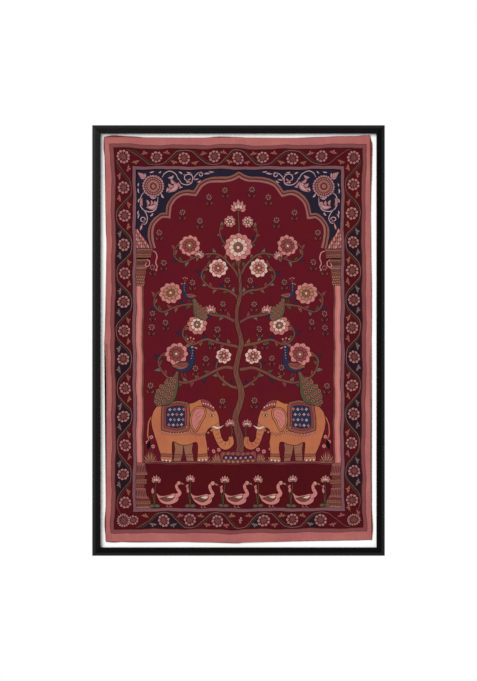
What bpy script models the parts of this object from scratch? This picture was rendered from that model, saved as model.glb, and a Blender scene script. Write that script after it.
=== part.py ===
"""Kalamkari panel in a picture frame: a dyed cotton sheet, a white board behind it and four mitred rails.

The panel hangs upright with its face towards -Y and its back in the plane y = 0. The origin is the
middle of the top rail's back face, where the wall holds it. Lengths are in metres.
"""

import math

import bmesh
import bpy
from mathutils import Vector

# Driving dimensions of the frame
FRAME_WIDTH = 0.671
FRAME_HEIGHT = 0.9875
FRAME_DEPTH = 0.024
FACE_WIDTH = 0.019
LIP_DEPTH = 0.0095
RABBET_WIDTH = 0.005
BEVEL_WIDTH = 0.007
BEVEL_DROP = 0.003
FACE_DROP = 0.0015
SIGHT_EDGE_RADIUS = 0.001
OUTER_EDGE_RADIUS = 0.0012
CLEARANCE = 0.0003

# Driving dimensions of the board and the cloth
BOARD_THICKNESS = 0.003
BOARD_PLAY = 0.0005
CLOTH_WIDTH = 0.610
CLOTH_HEIGHT = 0.929
CLOTH_THICKNESS = 0.001
CLOTH_RAISED = 0.0026
CLOTH_COLUMNS = 26
CLOTH_ROWS = 40
EDGE_REACH = 0.055

# Places that follow from them
BACK_FACE_WIDTH = FACE_WIDTH - RABBET_WIDTH
FRAME_TOP = BACK_FACE_WIDTH / 2
FRAME_MIDDLE = FRAME_TOP - FRAME_HEIGHT / 2
LIP_BACK = -FRAME_DEPTH + LIP_DEPTH
BOARD_FRONT = LIP_BACK + CLEARANCE
CLOTH_MIDDLE = FRAME_MIDDLE + CLOTH_RAISED

# The cloth's uneven outline: how far each edge stands out from the plain rectangle.
# Columns: millimetres along the edge from its start, millimetres outwards.
# The left and right edges start at the top, the top and bottom edges at the left.
LEFT_EDGE = [(0, 4.0), (21, 4.9), (49, 2.4), (76, 0.0), (214, -0.3), (241, -1.7), (351, -0.3), (434, 1.5),
             (475, 3.1), (516, 0.0), (571, -1.0), (667, -1.7), (846, 0.0), (887, 2.6), (929, 0.0)]
RIGHT_EDGE = [(0, -3.0), (21, 2.2), (76, 1.0), (131, -0.8), (186, -1.7), (268, -0.6), (351, 0.8), (571, 0.8),
              (626, -1.3), (737, -1.8), (791, 0.6), (846, 0.8), (901, 3.1), (929, 1.0)]
TOP_EDGE = [(0, 0.6), (18, 3.9), (59, 1.6), (100, -1.1), (224, -1.4), (265, 1.1), (306, -0.2), (347, -3.2),
            (430, -1.6), (492, 0.2), (533, 1.8), (574, 2.1), (595, 3.7), (610, 4.0)]
BOTTOM_EDGE = [(0, 0.0), (18, 1.7), (39, 0.2), (59, 1.1), (182, 0.4), (224, 1.5), (298, 3.4), (327, 0.9),
               (389, 0.2), (430, -1.0), (492, -2.3), (574, -3.4), (595, -5.0), (610, -4.0)]

# The creases left from folding the cloth away. Columns: the way each runs, its distance from the
# cloth's middle, its height above the board in millimetres (below zero for a trough), its half width.
CREASES = [("upright", -0.0015, 0.9, 0.010), ("level", 0.001, -0.8, 0.011),
           ("upright", -0.152, 0.35, 0.012), ("upright", 0.150, -0.3, 0.012), ("level", 0.235, 0.3, 0.012)]

# The slow waves of a sheet held only at places. Columns: height in millimetres, waves across the
# width, waves down the height, phase in turns.
WAVES = [(0.32, 1.4, 0.6, 0.10), (0.22, 0.5, 2.3, 0.40), (0.14, 2.6, 1.7, 0.75)]


def material(name, colour, roughness, metallic=0.0):
    """A plain material in the part's own colour."""
    made = bpy.data.materials.new(name)
    made.use_nodes = True
    shader = made.node_tree.nodes["Principled BSDF"]
    shader.inputs["Base Color"].default_value = (*colour, 1.0)
    shader.inputs["Roughness"].default_value = roughness
    shader.inputs["Metallic"].default_value = metallic
    made.diffuse_color = (*colour, 1.0)
    return made


def place(name, bm, collection, finish):
    """Turns a bmesh into a named object of the panel."""
    mesh = bpy.data.meshes.new(name)
    bm.to_mesh(mesh)
    bm.free()
    mesh.materials.append(finish)
    made = bpy.data.objects.new(name, mesh)
    collection.objects.link(made)
    return made


def arc(centre, radius, start, end, steps):
    """Points on a round edge, as (inward, depth) pairs, from one angle in degrees to another."""
    angles = [math.radians(start + (end - start) * i / steps) for i in range(steps + 1)]
    return [(centre[0] + radius * math.cos(a), centre[1] + radius * math.sin(a)) for a in angles]


def moulding_profile():
    """The moulding's section as (inward from the outer side, depth) pairs, going round from the back."""
    front = -FRAME_DEPTH
    ridge = front + FACE_DROP
    outer = arc((OUTER_EDGE_RADIUS, ridge + BEVEL_DROP), OUTER_EDGE_RADIUS, 180, 250, 3)
    sight = arc((FACE_WIDTH - SIGHT_EDGE_RADIUS, front + SIGHT_EDGE_RADIUS), SIGHT_EDGE_RADIUS, 270, 360, 3)
    return [
        (0.0, 0.0),
        *outer,
        (BEVEL_WIDTH, ridge),
        *sight,
        (FACE_WIDTH, LIP_BACK),
        (BACK_FACE_WIDTH, LIP_BACK),
        (BACK_FACE_WIDTH, 0.0),
    ]


def mitre(bm, corner, outward):
    """Cuts the end of a rail on the slope through a corner of the frame and closes the cut."""
    normal = Vector(outward).normalized()
    everything = bm.verts[:] + bm.edges[:] + bm.faces[:]
    cut = bmesh.ops.bisect_plane(
        bm,
        geom=everything,
        plane_co=Vector(corner) - normal * CLEARANCE / 2,
        plane_no=normal,
        clear_outer=True,
    )
    rim = [item for item in cut["geom_cut"] if isinstance(item, bmesh.types.BMEdge)]
    bmesh.ops.edgeloop_fill(bm, edges=rim)


def rail(name, side, collection, finish):
    """One rail: its section drawn out along the side and mitred at both ends.

    side is the outward direction, (x, z): (0, 1) is the top rail.
    """
    across = Vector((side[0], 0.0, side[1]))
    along = Vector((abs(side[1]), 0.0, abs(side[0])))
    half_span = FRAME_HEIGHT / 2 if side[0] else FRAME_WIDTH / 2
    half_reach = FRAME_WIDTH / 2 if side[0] else FRAME_HEIGHT / 2
    middle = Vector((0.0, 0.0, FRAME_MIDDLE))
    bm = bmesh.new()
    for inward, depth in moulding_profile():
        point = middle + across * (half_reach - inward) - along * half_span
        bm.verts.new((point.x, depth, point.z))
    section = bm.faces.new(bm.verts)
    drawn = bmesh.ops.extrude_face_region(bm, geom=[section])
    moved = [item for item in drawn["geom"] if isinstance(item, bmesh.types.BMVert)]
    bmesh.ops.translate(bm, verts=moved, vec=along * half_span * 2)
    for end in (-1, 1):
        corner = middle + across * half_reach + along * half_span * end
        mitre(bm, corner, along * end - across)
    bmesh.ops.recalc_face_normals(bm, faces=bm.faces)
    return place(name, bm, collection, finish)


def board(collection, finish):
    """The white board, in the rabbet and just behind the lip."""
    width = FRAME_WIDTH - 2 * (BACK_FACE_WIDTH + BOARD_PLAY)
    height = FRAME_HEIGHT - 2 * (BACK_FACE_WIDTH + BOARD_PLAY)
    bm = bmesh.new()
    bmesh.ops.create_cube(bm, size=1.0)
    bmesh.ops.scale(bm, vec=(width, BOARD_THICKNESS, height), verts=bm.verts)
    bmesh.ops.translate(bm, vec=(0.0, BOARD_FRONT + BOARD_THICKNESS / 2, FRAME_MIDDLE), verts=bm.verts)
    return place("backing_board", bm, collection, finish)


def smooth(share):
    """Eases a share from 0 to 1."""
    share = min(1.0, max(0.0, share))
    return share * share * (3 - 2 * share)


def stands_out(table, along):
    """How far an edge stands out at a distance along it, eased between the rows of its table."""
    along_mm = along * 1000
    for (start, low), (end, high) in zip(table, table[1:]):
        if along_mm <= end:
            return (low + (high - low) * smooth((along_mm - start) / (end - start))) / 1000
    return table[-1][1] / 1000


def fade(distance):
    """An edge's unevenness dies away towards the middle of the cloth."""
    return math.exp(-max(0.0, distance) / EDGE_REACH)


def outline(across, up):
    """Where a point of the plain rectangle lies on the uneven cloth, both from the cloth's middle."""
    from_left = across + CLOTH_WIDTH / 2
    from_top = CLOTH_HEIGHT / 2 - up
    left = stands_out(LEFT_EDGE, from_top) * fade(from_left)
    right = stands_out(RIGHT_EDGE, from_top) * fade(CLOTH_WIDTH - from_left)
    top = stands_out(TOP_EDGE, from_left) * fade(from_top)
    bottom = stands_out(BOTTOM_EDGE, from_left) * fade(CLOTH_HEIGHT - from_top)
    return across - left + right, up + top - bottom


def relief(across, up):
    """Height of the cloth above its lowest points, from its creases and slow waves."""
    height = 1.6
    for way, place_of, rise, half_width in CREASES:
        distance = abs((across if way == "upright" else up) - place_of)
        height += rise * math.exp(-distance / half_width)
    for rise, waves_across, waves_down, phase in WAVES:
        turns = waves_across * across / CLOTH_WIDTH + waves_down * up / CLOTH_HEIGHT + phase
        height += rise * math.sin(2 * math.pi * turns)
    return height / 1000


def grid_places(length, count, marks):
    """Places of the sheet's grid lines: even ones, with the nearest moved onto each crease."""
    places = [length * (i / count - 0.5) for i in range(count + 1)]
    for mark in marks:
        nearest = min(range(1, count), key=lambda i: abs(places[i] - mark))
        places[nearest] = mark
    return places


def cloth(collection, finish):
    """The cotton sheet: a flat grid given its outline and relief, then its thickness."""
    columns = grid_places(CLOTH_WIDTH, CLOTH_COLUMNS, [c[1] for c in CREASES if c[0] == "upright"])
    rows = grid_places(CLOTH_HEIGHT, CLOTH_ROWS, [c[1] for c in CREASES if c[0] == "level"])
    bm = bmesh.new()
    bmesh.ops.create_grid(bm, x_segments=CLOTH_COLUMNS, y_segments=CLOTH_ROWS, size=0.5)
    for vert in bm.verts:
        column = round((vert.co.x + 0.5) * CLOTH_COLUMNS)
        row = round((vert.co.y + 0.5) * CLOTH_ROWS)
        across, up = outline(columns[column], rows[row])
        rise = relief(columns[column], rows[row])
        depth = BOARD_FRONT - CLEARANCE - CLOTH_THICKNESS / 2 - rise
        vert.co = (across, depth, CLOTH_MIDDLE + up)
    bmesh.ops.recalc_face_normals(bm, faces=bm.faces)
    made = place("kalamkari_cloth", bm, collection, finish)
    made.data.shade_smooth()
    thickness = made.modifiers.new("thickness", "SOLIDIFY")
    thickness.thickness = CLOTH_THICKNESS
    thickness.offset = 0.0
    return made


def main():
    for old in list(bpy.data.objects):
        bpy.data.objects.remove(old)
    collection = bpy.data.collections.new("kalamkari panel")
    bpy.context.scene.collection.children.link(collection)
    black_lacquer = material("black lacquer", (0.012, 0.011, 0.011), 0.35)
    white_board = material("white board", (0.93, 0.91, 0.88), 0.85)
    dyed_cotton = material("dyed cotton", (0.14, 0.012, 0.018), 0.9)
    rail("rail_top", (0, 1), collection, black_lacquer)
    rail("rail_bottom", (0, -1), collection, black_lacquer)
    rail("rail_left", (-1, 0), collection, black_lacquer)
    rail("rail_right", (1, 0), collection, black_lacquer)
    board(collection, white_board)
    cloth(collection, dyed_cotton)


main()
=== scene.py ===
# %% [markdown]
# # A kalamkari panel in its picture frame
# Kalamkari is cotton drawn with a bamboo pen and dyed by hand, one colour after another. This panel
# floats on a white board in a black frame. The rails and the board come finished in shape from the
# CAD frame and only need their surfaces. The cloth is modelled here, as a thin sheet on its folds
# whose drawing is real geometry: every petal and pen line is its own set of faces, so the edges stay
# sharp at any distance and no image is needed.

# %% Load the frame
import math

import bpy
import numpy as np
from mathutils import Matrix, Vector, geometry


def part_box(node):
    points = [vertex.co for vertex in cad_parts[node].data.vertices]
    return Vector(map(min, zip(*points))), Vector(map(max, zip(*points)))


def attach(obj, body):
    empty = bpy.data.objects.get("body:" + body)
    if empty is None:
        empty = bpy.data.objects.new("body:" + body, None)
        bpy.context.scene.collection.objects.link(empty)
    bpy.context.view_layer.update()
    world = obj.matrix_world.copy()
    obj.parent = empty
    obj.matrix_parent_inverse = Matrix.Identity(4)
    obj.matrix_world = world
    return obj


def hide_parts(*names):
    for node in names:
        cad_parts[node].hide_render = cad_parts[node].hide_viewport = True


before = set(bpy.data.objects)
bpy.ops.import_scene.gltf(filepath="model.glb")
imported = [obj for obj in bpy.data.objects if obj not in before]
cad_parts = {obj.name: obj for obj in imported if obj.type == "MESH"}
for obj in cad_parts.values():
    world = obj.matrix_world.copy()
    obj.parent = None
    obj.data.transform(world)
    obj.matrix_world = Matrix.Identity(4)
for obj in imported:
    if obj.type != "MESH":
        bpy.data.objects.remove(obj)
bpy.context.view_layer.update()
MM = 0.001

# %% [markdown]
# ## The flat cloth
# The drawing is laid out on the flat cloth, in millimetres from its middle, across to the right and
# up. It is worked out from the field inside the border and the widths of the bands round it, as a
# maker rules the cloth first. Painting goes as on the real cloth, from the ground up: each outline
# covers what lies under it, and the last one painted at a place wins.

# %% Sizes of the flat cloth
CLOTH_WIDTH, CLOTH_HEIGHT = 610.0, 929.0
FIELD_HALF, FIELD_TOP, FIELD_BOTTOM = 235.0, 390.0, -387.0
INNER_STRIPE, VINE_BAND, OUTER_STRIPE = 7.5, 40.5, 8.5
EDGE_LINE_WIDTH = 0.9
DARK_RIM = 2.4
PEN = 1.0
half_width, half_height = CLOTH_WIDTH / 2, CLOTH_HEIGHT / 2
painted = []
print("cloth", CLOTH_WIDTH, "by", CLOTH_HEIGHT, "mm, pen", PEN, "mm")

# %% Lines
def smooth_line(points, closed=False, step=3.0):
    """A smooth line through a few points. A point in square brackets makes a corner."""
    given = []
    for point in points:
        given += point * 2 if isinstance(point, list) else [point]
    given = np.array(given, float)
    count = len(given)
    made = []
    for i in range(count if closed else count - 1):
        start, end = given[i], given[(i + 1) % count]
        before = given[i - 1] if closed or i else 2 * start - end
        after = given[(i + 2) % count] if closed or i + 2 < count else 2 * end - start
        steps = max(1, math.ceil(np.linalg.norm(end - start) / step))
        for t in np.arange(steps) / steps:
            square = 2 * before - 5 * start + 4 * end - after
            cube = 3 * start - before - 3 * end + after
            made.append(start + ((end - before) * t + square * t**2 + cube * t**3) / 2)
    if not closed:
        made.append(given[-1])
    return np.array([made[0]] + [b for a, b in zip(made, made[1:]) if np.linalg.norm(b - a) > 0.05])


def sideways(steps):
    """The direction to the right of each step of a line."""
    turned = np.stack([steps[:, 1], -steps[:, 0]], 1)
    return turned / np.maximum(np.linalg.norm(turned, axis=1, keepdims=True), 1e-9)


def mitred(points, arriving, leaving, by):
    """Points moved by a distance, so that the lines on both sides of each point move by it."""
    middle = arriving + leaving
    return points + by * middle * (2 / np.maximum(np.sum(middle**2, 1, keepdims=True), 0.8))


def grown(outline, by):
    """A closed outline moved outwards, or inwards where by is below zero."""
    points = np.asarray(outline, float)
    after = np.roll(points, -1, 0)
    area = np.sum(points[:, 0] * after[:, 1] - after[:, 0] * points[:, 1])
    outwards = by * math.copysign(1.0, area)
    return mitred(points, sideways(points - np.roll(points, 1, 0)), sideways(after - points), outwards)


def beside(points, by):
    """An open line moved to its right by a distance."""
    steps = sideways(np.diff(points, axis=0))
    return mitred(points, np.concatenate([steps[:1], steps]), np.concatenate([steps, steps[-1:]]), by)


print("a bend through 3 points has", len(smooth_line([(0, 0), (20, 10), (40, 0)])), "points")

# %% Points and outlines
def towards(centre, angle, reach):
    """The point at an angle in degrees and a distance from another."""
    angle = math.radians(angle)
    return np.array([centre[0] + reach * math.cos(angle), centre[1] + reach * math.sin(angle)])


def heading(way):
    """The angle in degrees of a step across and up."""
    return math.degrees(math.atan2(way[1], way[0]))


def ray(centre, angle, near, far):
    """The two ends of a line that points away from a centre."""
    return towards(centre, angle, near), towards(centre, angle, far)


def block(left, bottom, right, top):
    """The corners of an upright rectangle."""
    return [(left, bottom), (right, bottom), (right, top), (left, top)]


def spot(centre, radius, squash=1.0, sides=0):
    """A round outline, or an oval one where squash is its height for its width."""
    sides = sides or int(min(30, max(7, radius * 3)))
    angle = 2 * math.pi * np.arange(sides) / sides
    return np.stack([centre[0] + radius * np.cos(angle), centre[1] + radius * squash * np.sin(angle)], 1)


def blade(root, tip, width, bend=0.0, fullest=0.5, stations=5):
    """A leaf's outline. bend is its bow and fullest its widest place, as shares of its length."""
    root, tip = np.asarray(root, float), np.asarray(tip, float)
    along = np.linspace(0, 1, stations + 2)
    side = np.array([tip[1] - root[1], root[0] - tip[0]])
    length = max(np.linalg.norm(side), 1e-6)
    spine = root + np.outer(along, tip - root) + np.outer(np.sin(math.pi * along) * bend, side)
    half = width / 2 * np.sin(math.pi * along ** (math.log(0.5) / math.log(fullest)))
    edge = np.outer(half, side / length)
    return np.concatenate([spine + edge, (spine - edge)[-2:0:-1]])


print("a blade has", len(blade((0, 0), (10, 0), 4)), "points")

# %% Painting
def paint(outline, dye):
    """Lays a dye inside a closed line of (across, up) points."""
    painted.append((np.asarray(outline, float), dye))


def ribbon(points, half, dye):
    """A line whose half width is given at each of its points."""
    side = sideways(np.gradient(points, axis=0)) * half[:, None]
    paint(np.concatenate([points + side, (points - side)[::-1]]), dye)


def stroke(points, width, dye, ends=(0.4, 0.4)):
    """A brush or pen line. ends are the shares of its width at its start and end."""
    points = np.asarray(points, float)
    share = np.interp(np.linspace(0, 1, len(points)), (0, 0.2, 0.8, 1), (ends[0], 1, 1, ends[1]))
    ribbon(points, share * width / 2, dye)


def tapered(points, start_width, end_width, dye, pen=0.9):
    """A branch: a line that narrows from start to end, with a pen line on both sides."""
    half = np.linspace(start_width, end_width, len(points)) / 2
    ribbon(points, half + pen, "ink")
    ribbon(points, half, dye)


def piped(points, width, dye, pen=PEN, ends=(0.5, 0.5), ink="ink"):
    """A line of dye with a pen line on both sides, such as a stem."""
    stroke(points, width + 2 * pen, ink, ends)
    stroke(points, width, dye, ends)


def stem(points, width, dye="pale lavender", pen=0.6, step=3.0):
    """A smooth line of dye through a few points, with a pen line on both sides."""
    piped(smooth_line(points, step=step), width, dye, pen)


def inked(outline, dye, pen=PEN):
    """An area of dye with a pen line round it."""
    paint(grown(outline, pen / 2), "ink")
    paint(grown(outline, -pen / 2), dye)


def rounded(points, dye, pen=PEN, step=3.0):
    """An area of dye inside a smooth line through a few points, with a pen line round it."""
    inked(smooth_line(points, closed=True, step=step), dye, pen)


print("painting starts with", len(painted), "areas")

# %% Leaves, dots and copies
def leaf(root, tip, width, dye, pen=PEN, **form):
    """A leaf, petal or feather with a pen line round it. form goes to blade."""
    inked(blade(root, tip, width, **form), dye, pen)


def dot(centre, radius, dye, sides=0):
    """A round spot of dye. Without a number of sides, its size gives them."""
    paint(spot(centre, radius, sides=sides), dye)


def rings(centre, radius, *layers, sides=0):
    """Round spots over one another, given as their shares of the radius and their dyes."""
    for share, dye in layers:
        dot(centre, radius * share, dye, sides)


def ring_of(count, centre, reach, radius, dye, sides=6, start=0):
    """A ring of dots round a centre."""
    for i in range(count):
        dot(towards(centre, start + 360 * i / count, reach), radius, dye, sides)


def mirrored(draw, *given):
    """Draws something on the left and again, mirrored, on the right."""
    first = len(painted)
    draw(*given)
    for outline, dye in painted[first:]:
        paint(outline * (-1, 1), dye)


def placed(shift, scale, draw, hand=1):
    """Draws something made about the origin at a place and scale, mirrored where hand is -1."""
    first = len(painted)
    draw()
    for k in range(first, len(painted)):
        outline, dye = painted[k]
        painted[k] = (outline * (scale * hand, scale) + shift, dye)


print("a spot 5 mm in radius has", len(spot((0, 0), 5.0)), "points")

# %% [markdown]
# ## Ruled bands
# The cloth has a coral edge, a mauve stripe between pen lines, the dark vine band, and a second mauve stripe
# round the field. They are nested boxes, so a table of how far each reaches beyond the field says it all. A
# thin brown line runs along the cut edge.

# %% Rule the bands
VINE_MIDDLE = INNER_STRIPE + VINE_BAND / 2
BAND_OUTSIDE = INNER_STRIPE + VINE_BAND
STRIPE_OUTSIDE = BAND_OUTSIDE + OUTER_STRIPE
# Columns: how far the box reaches beyond the field, its dye
OUTER_BANDS = [(STRIPE_OUTSIDE + 0.9, "brown line"), (STRIPE_OUTSIDE - 0.6, "mauve"),
               (BAND_OUTSIDE + 1.4, "brown line"), (BAND_OUTSIDE, "maroon"),
               (BAND_OUTSIDE - DARK_RIM, "deep madder")]
INNER_BANDS = [(INNER_STRIPE + DARK_RIM, "maroon"), (INNER_STRIPE, "dusty mauve"),
               (0.6, "ink"), (0.0, "madder")]
TACK_MARK, TACK_RADIUS = (-291.6, -453.7), 1.1


def rule(bands):
    """Paints boxes round the field, the widest first."""
    for beyond, dye in bands:
        half = FIELD_HALF + beyond
        paint(block(-half, FIELD_BOTTOM - beyond, half, FIELD_TOP + beyond), dye)


# A thin brown line of the given width along the cut edge, with the coral inside it
for inset, dye in ((0.0, "brown line"), (EDGE_LINE_WIDTH, "coral")):
    paint(block(inset - half_width, inset - half_height, half_width - inset, half_height - inset), dye)
dot(TACK_MARK, TACK_RADIUS, "ink", 6)
rule(OUTER_BANDS)
print("bands", len(OUTER_BANDS) + len(INNER_BANDS))

# %% [markdown]
# ## The vine band
# A wave of vine passes round alternate sides of a chain of rosettes, with a pair of small three-part
# leaves in each gap. One function draws a rosette, one a leaf and one a whole side. The wave is
# steered by the rosettes, so an uneven spacing, as on the real cloth, bends the vine with it.

# %% Rosettes and small leaves
def rosette(centre, radius, petals=9):
    """A ring of broad petals, darker at their roots, round a ringed heart with dots."""
    for i in range(petals):
        angle = 360 * (i + 0.5) / petals
        leaf(*ray(centre, angle, radius * 0.34, radius * 1.03), radius * 5.2 / petals, "pale rose",
             fullest=0.68, stations=4)
        paint(blade(*ray(centre, angle, radius * 0.48, radius * 0.82), radius * 2.1 / petals, stations=2),
              "dusky rose")
    rings(centre, radius, (0.52, "ink"), (0.47, "rose brown"), sides=14)
    ring_of(8, centre, radius * 0.36, radius * 0.05, "ink", 5)
    rings(centre, radius, (0.26, "brown line"), (0.2, "clay"), (0.06, "ink"), sides=9)


def trefoil(root, angle, reach, dye):
    """Three small leaves spreading from one point, with a thin tendril on each side."""
    for turn in (-84, 84):
        bow = math.copysign(0.16, turn)
        paint(blade(root, towards(root, angle + turn, reach), reach * 0.2, bend=bow, stations=2), dye)
    for turn, share in ((-54, 0.85), (54, 0.85), (0, 1.0)):
        tip = towards(root, angle + turn, reach * share)
        leaf(root, tip, reach * 0.52, dye, 0.6, fullest=0.56, stations=3)


def bud(centre):
    """The small curled bud that stands for a rosette in the middle of the bottom band."""
    for angle, reach, bow in ((100, 8.5, 0.3), (-80, 8.5, 0.3), (150, 5.0, -0.2), (-30, 5.0, -0.2)):
        leaf(centre, towards(centre, angle, reach), 5.0, "pale rose", 0.7, bend=bow, stations=3)
    dot(centre, 1.6, "dusky rose", 7)


def on_side(side, along, inward):
    """The place on the cloth of a point along the middle of a side's band."""
    return {
        "left": (inward - CORNER_ACROSS, along),
        "right": (CORNER_ACROSS - inward, along),
        "top": (along, CORNER_TOP - inward),
        "bottom": (along, CORNER_BOTTOM + inward),
    }[side]


def sheath(side, here, gap, swing):
    """The long dark leaf between pale lines that grips the vine just past a crossing."""
    points = [on_side(side, here + gap * share, swing * across) for share, across in SHEATH]
    piped(smooth_line(points, step=5), 4.2, "olive", 0.7, (0.1, 0.1), "vine shade")


ROSETTE_RADIUS, CORNER_RADIUS = 14.3, 15.5
# Columns: share of the gap between two rosettes, share of the vine's swing
SHEATH = ((0.16, 1.0), (0.34, 0.7), (0.54, 0.05), (0.74, -0.62), (0.94, -0.84))
CORNER_ACROSS = FIELD_HALF + VINE_MIDDLE
CORNER_TOP, CORNER_BOTTOM = FIELD_TOP + VINE_MIDDLE, FIELD_BOTTOM - VINE_MIDDLE
print("corner rosettes at", CORNER_ACROSS, "across,", CORNER_TOP, "and", CORNER_BOTTOM, "up")

# %% The vine's wave
VINE_SWING, VINE_WIDTH = 16.6, 1.5
ROUNDNESS = 0.83
CORNER_CLEARANCE = 8


def vine_line(places, swings):
    """The vine's wave past rosettes at places, as points along the side and inwards from its middle."""
    start_in = math.copysign(CORNER_CLEARANCE, places[1] - places[0])
    steer = [(places[0] + start_in, swings[0])]
    for i, (here, after) in enumerate(zip(places, places[1:])):
        middle, half = (swings[i] + swings[i + 1]) / 2, (swings[i] - swings[i + 1]) / 2
        for share, kept in ((0.25, ROUNDNESS), (0.5, 0.0), (0.75, -ROUNDNESS), (1.0, -1.0)):
            if i or share > 0.25:
                steer.append((here + (after - here) * share, middle + half * kept))
    steer[-1] = (places[-1] - start_in, swings[-1])
    return smooth_line(steer, step=4.0)


print("the vine swings", VINE_SWING, "mm to each side of its band's middle")

# %% One side of the vine band
SHORTEST_GAP = 45.0
ROSETTE_SHIFT = 1.8
TREFOIL_REACH = 10.0
SMALL_BUD = ("bottom", 5)


def vine_side(side, places, night_spans):
    """A side of the band: its rosettes are at places, whose first and last are the corners."""
    swings = [VINE_SWING * (1 if i % 2 else -1) for i in range(len(places))]
    swings[-1] = -VINE_SWING if swings[-2] > 0 else -VINE_SWING / 3
    vine = vine_line(places, swings)
    edge = DARK_RIM - VINE_BAND / 2
    for low, high in night_spans:
        part = vine[(vine[:, 0] >= low) & (vine[:, 0] <= high)]
        shape = [*part, (part[-1][0], edge), (part[0][0], edge)]
        paint([on_side(side, along, inward) for along, inward in shape], "night")
    gaps = [(i, here, after - here) for i, (here, after) in enumerate(zip(places, places[1:]))
            if abs(after - here) > SHORTEST_GAP]
    for i, here, gap in gaps:
        if i < len(places) - 2:
            sheath(side, here, gap, swings[i])
    piped([on_side(side, along, inward) for along, inward in vine], VINE_WIDTH, "vine buff", 0.8)
    for i, here, gap in gaps:
        way = math.copysign(1.0, swings[i])
        for share, inward in ((0.64, way), (0.36, -way)):
            place = here + gap * share
            by_night = inward < 0 and any(low <= place <= high for low, high in night_spans)
            dye = "leaf buff" if by_night else "rust" if inward > 0 and i % 3 != 1 else "dusky rose"
            root = np.array(on_side(side, place, inward * 7.4))
            out = np.array(on_side(side, here + gap * (0.5 + 0.8 * (share - 0.5)), inward * 15)) - root
            trefoil(root, heading(out), TREFOIL_REACH, dye)
    for i, place in enumerate(places[1:-1]):
        centre = on_side(side, place, -math.copysign(ROSETTE_SHIFT, swings[i + 1]))
        if (side, place) == SMALL_BUD:
            bud(centre)
        else:
            rosette(centre, ROSETTE_RADIUS)


print("a gap shorter than", SHORTEST_GAP, "mm has no leaves")

# %% Draw the vine band
LOW_CORNER_SHIFT = 22
left_places, right_places = np.linspace(349, -375, 12), np.linspace(355, -369, 12)
# Columns: side, its first corner, its rosettes, its last corner, its stretches of night-blue ground
SIDES = [
    ("left", CORNER_TOP, left_places, CORNER_BOTTOM, [(left_places[-1], left_places[1])]),
    ("right", CORNER_TOP, right_places, CORNER_BOTTOM, [(right_places[-1], right_places[1])]),
    ("top", -CORNER_ACROSS, [-188, -124, -56, -1, 56, 123, 191], CORNER_ACROSS, []),
    ("bottom", LOW_CORNER_SHIFT - CORNER_ACROSS, [-171, -111, -49, 5, 58, 123, 189], CORNER_ACROSS,
     [(-246, -112), (24, 53), (156, 183)]),
]
for side, first_corner, along_side, last_corner, night_spans in SIDES:
    vine_side(side, [first_corner, *along_side, last_corner], night_spans)
rosette((LOW_CORNER_SHIFT - CORNER_ACROSS, CORNER_BOTTOM + 1), ROSETTE_RADIUS * 0.82)
for up, petals in ((CORNER_TOP, 11), (CORNER_BOTTOM, 16)):
    for across in (-CORNER_ACROSS, CORNER_ACROSS):
        rosette((across, up), CORNER_RADIUS, petals)
rule(INNER_BANDS)
print("vine band drawn,", len(painted), "areas so far")

# %% [markdown]
# ## The arch
# The field is framed by a cusped arch. Its outer edge is an ogee and two lobes a side, each a smooth
# line through a few points, that meet in sharp cusps. Every band of the arch is the strip between
# two copies of that edge, moved inwards by different amounts, so the bands stay parallel round the
# lobes and meet in mitres at the cusps.

# %% Draw the arch
# Each stretch: points of the right half's outer edge, from the crown down
ARCH_STRETCHES = [
    [(0, 386.5), (6.5, 382.6), (13, 378.8), (26, 374.8), (48, 372.6), (72, 369.5), (90, 360), (104.2, 341.7)],
    [(104.2, 341.7), (118, 343.4), (135.6, 340.1), (152.5, 328.5), (163.5, 312), (167.6, 291.1)],
    [(167.6, 291.1), (180, 291), (194, 280.5), (204.5, 265), (208, 248), (206.5, 229), (201.3, 206.8)],
]
SPRINGING = ARCH_STRETCHES[-1][-1][1]
# Columns: how far in from the outer edge the strip starts and ends, its dye
ARCH_STRIPS = [(-0.9, 0.3, "ink"), (0.3, 1.5, "clay rose"), (1.5, 5.3, "clay"), (5.3, 7.0, "maroon"),
               (7.0, 8.1, "rose brown"), (8.1, 12.9, "clay rose"), (12.9, 13.7, "ink")]
BEAD_PITCH, BEAD_RADIUS, BEAD_INSET = 3.7, 1.2, 3.3


def travelled(line):
    """The distance along a line to each of its points."""
    return np.concatenate([[0], np.cumsum(np.linalg.norm(np.diff(line, axis=0), axis=1))])


def point_along(line, place):
    """The point some way along a line."""
    return np.array([np.interp(place, travelled(line), line[:, axis]) for axis in (0, 1)])


right_edge = np.concatenate([smooth_line(stretch, step=5.0)[:-1] for stretch in ARCH_STRETCHES])
right_edge = np.concatenate([right_edge, [ARCH_STRETCHES[-1][-1]]])
arch_edge = np.concatenate([(right_edge * (-1, 1))[::-1], right_edge[1:]])

corner_of_field = [(-FIELD_HALF, SPRINGING), (-FIELD_HALF, FIELD_TOP), (0, FIELD_TOP)]
mirrored(paint, corner_of_field + [tuple(p) for p in right_edge * (-1, 1)], "indigo")
corner_line = [(1 - FIELD_HALF, SPRINGING), (1 - FIELD_HALF, FIELD_TOP - 1), (0, FIELD_TOP - 1)]
mirrored(stroke, corner_line, 2.2, "ink")
for start, end, dye in ARCH_STRIPS:
    paint(np.concatenate([beside(arch_edge, start), beside(arch_edge, end)[::-1]]), dye)
bead_line = beside(arch_edge, BEAD_INSET)
arch_length = travelled(bead_line)[-1]
for place in np.arange(BEAD_PITCH, arch_length, BEAD_PITCH):
    dot(point_along(bead_line, place), BEAD_RADIUS, "clay rose", 6)
print("arch", round(arch_length), "mm long")

# %% [markdown]
# ## The corners above the arch
# Each corner is indigo, with a big ringed roundel and a scroll of half leaves running out of it both
# ways. A scroll is a stem that winds into a spiral, with a pointed leaf springing from its inner end.

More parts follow.
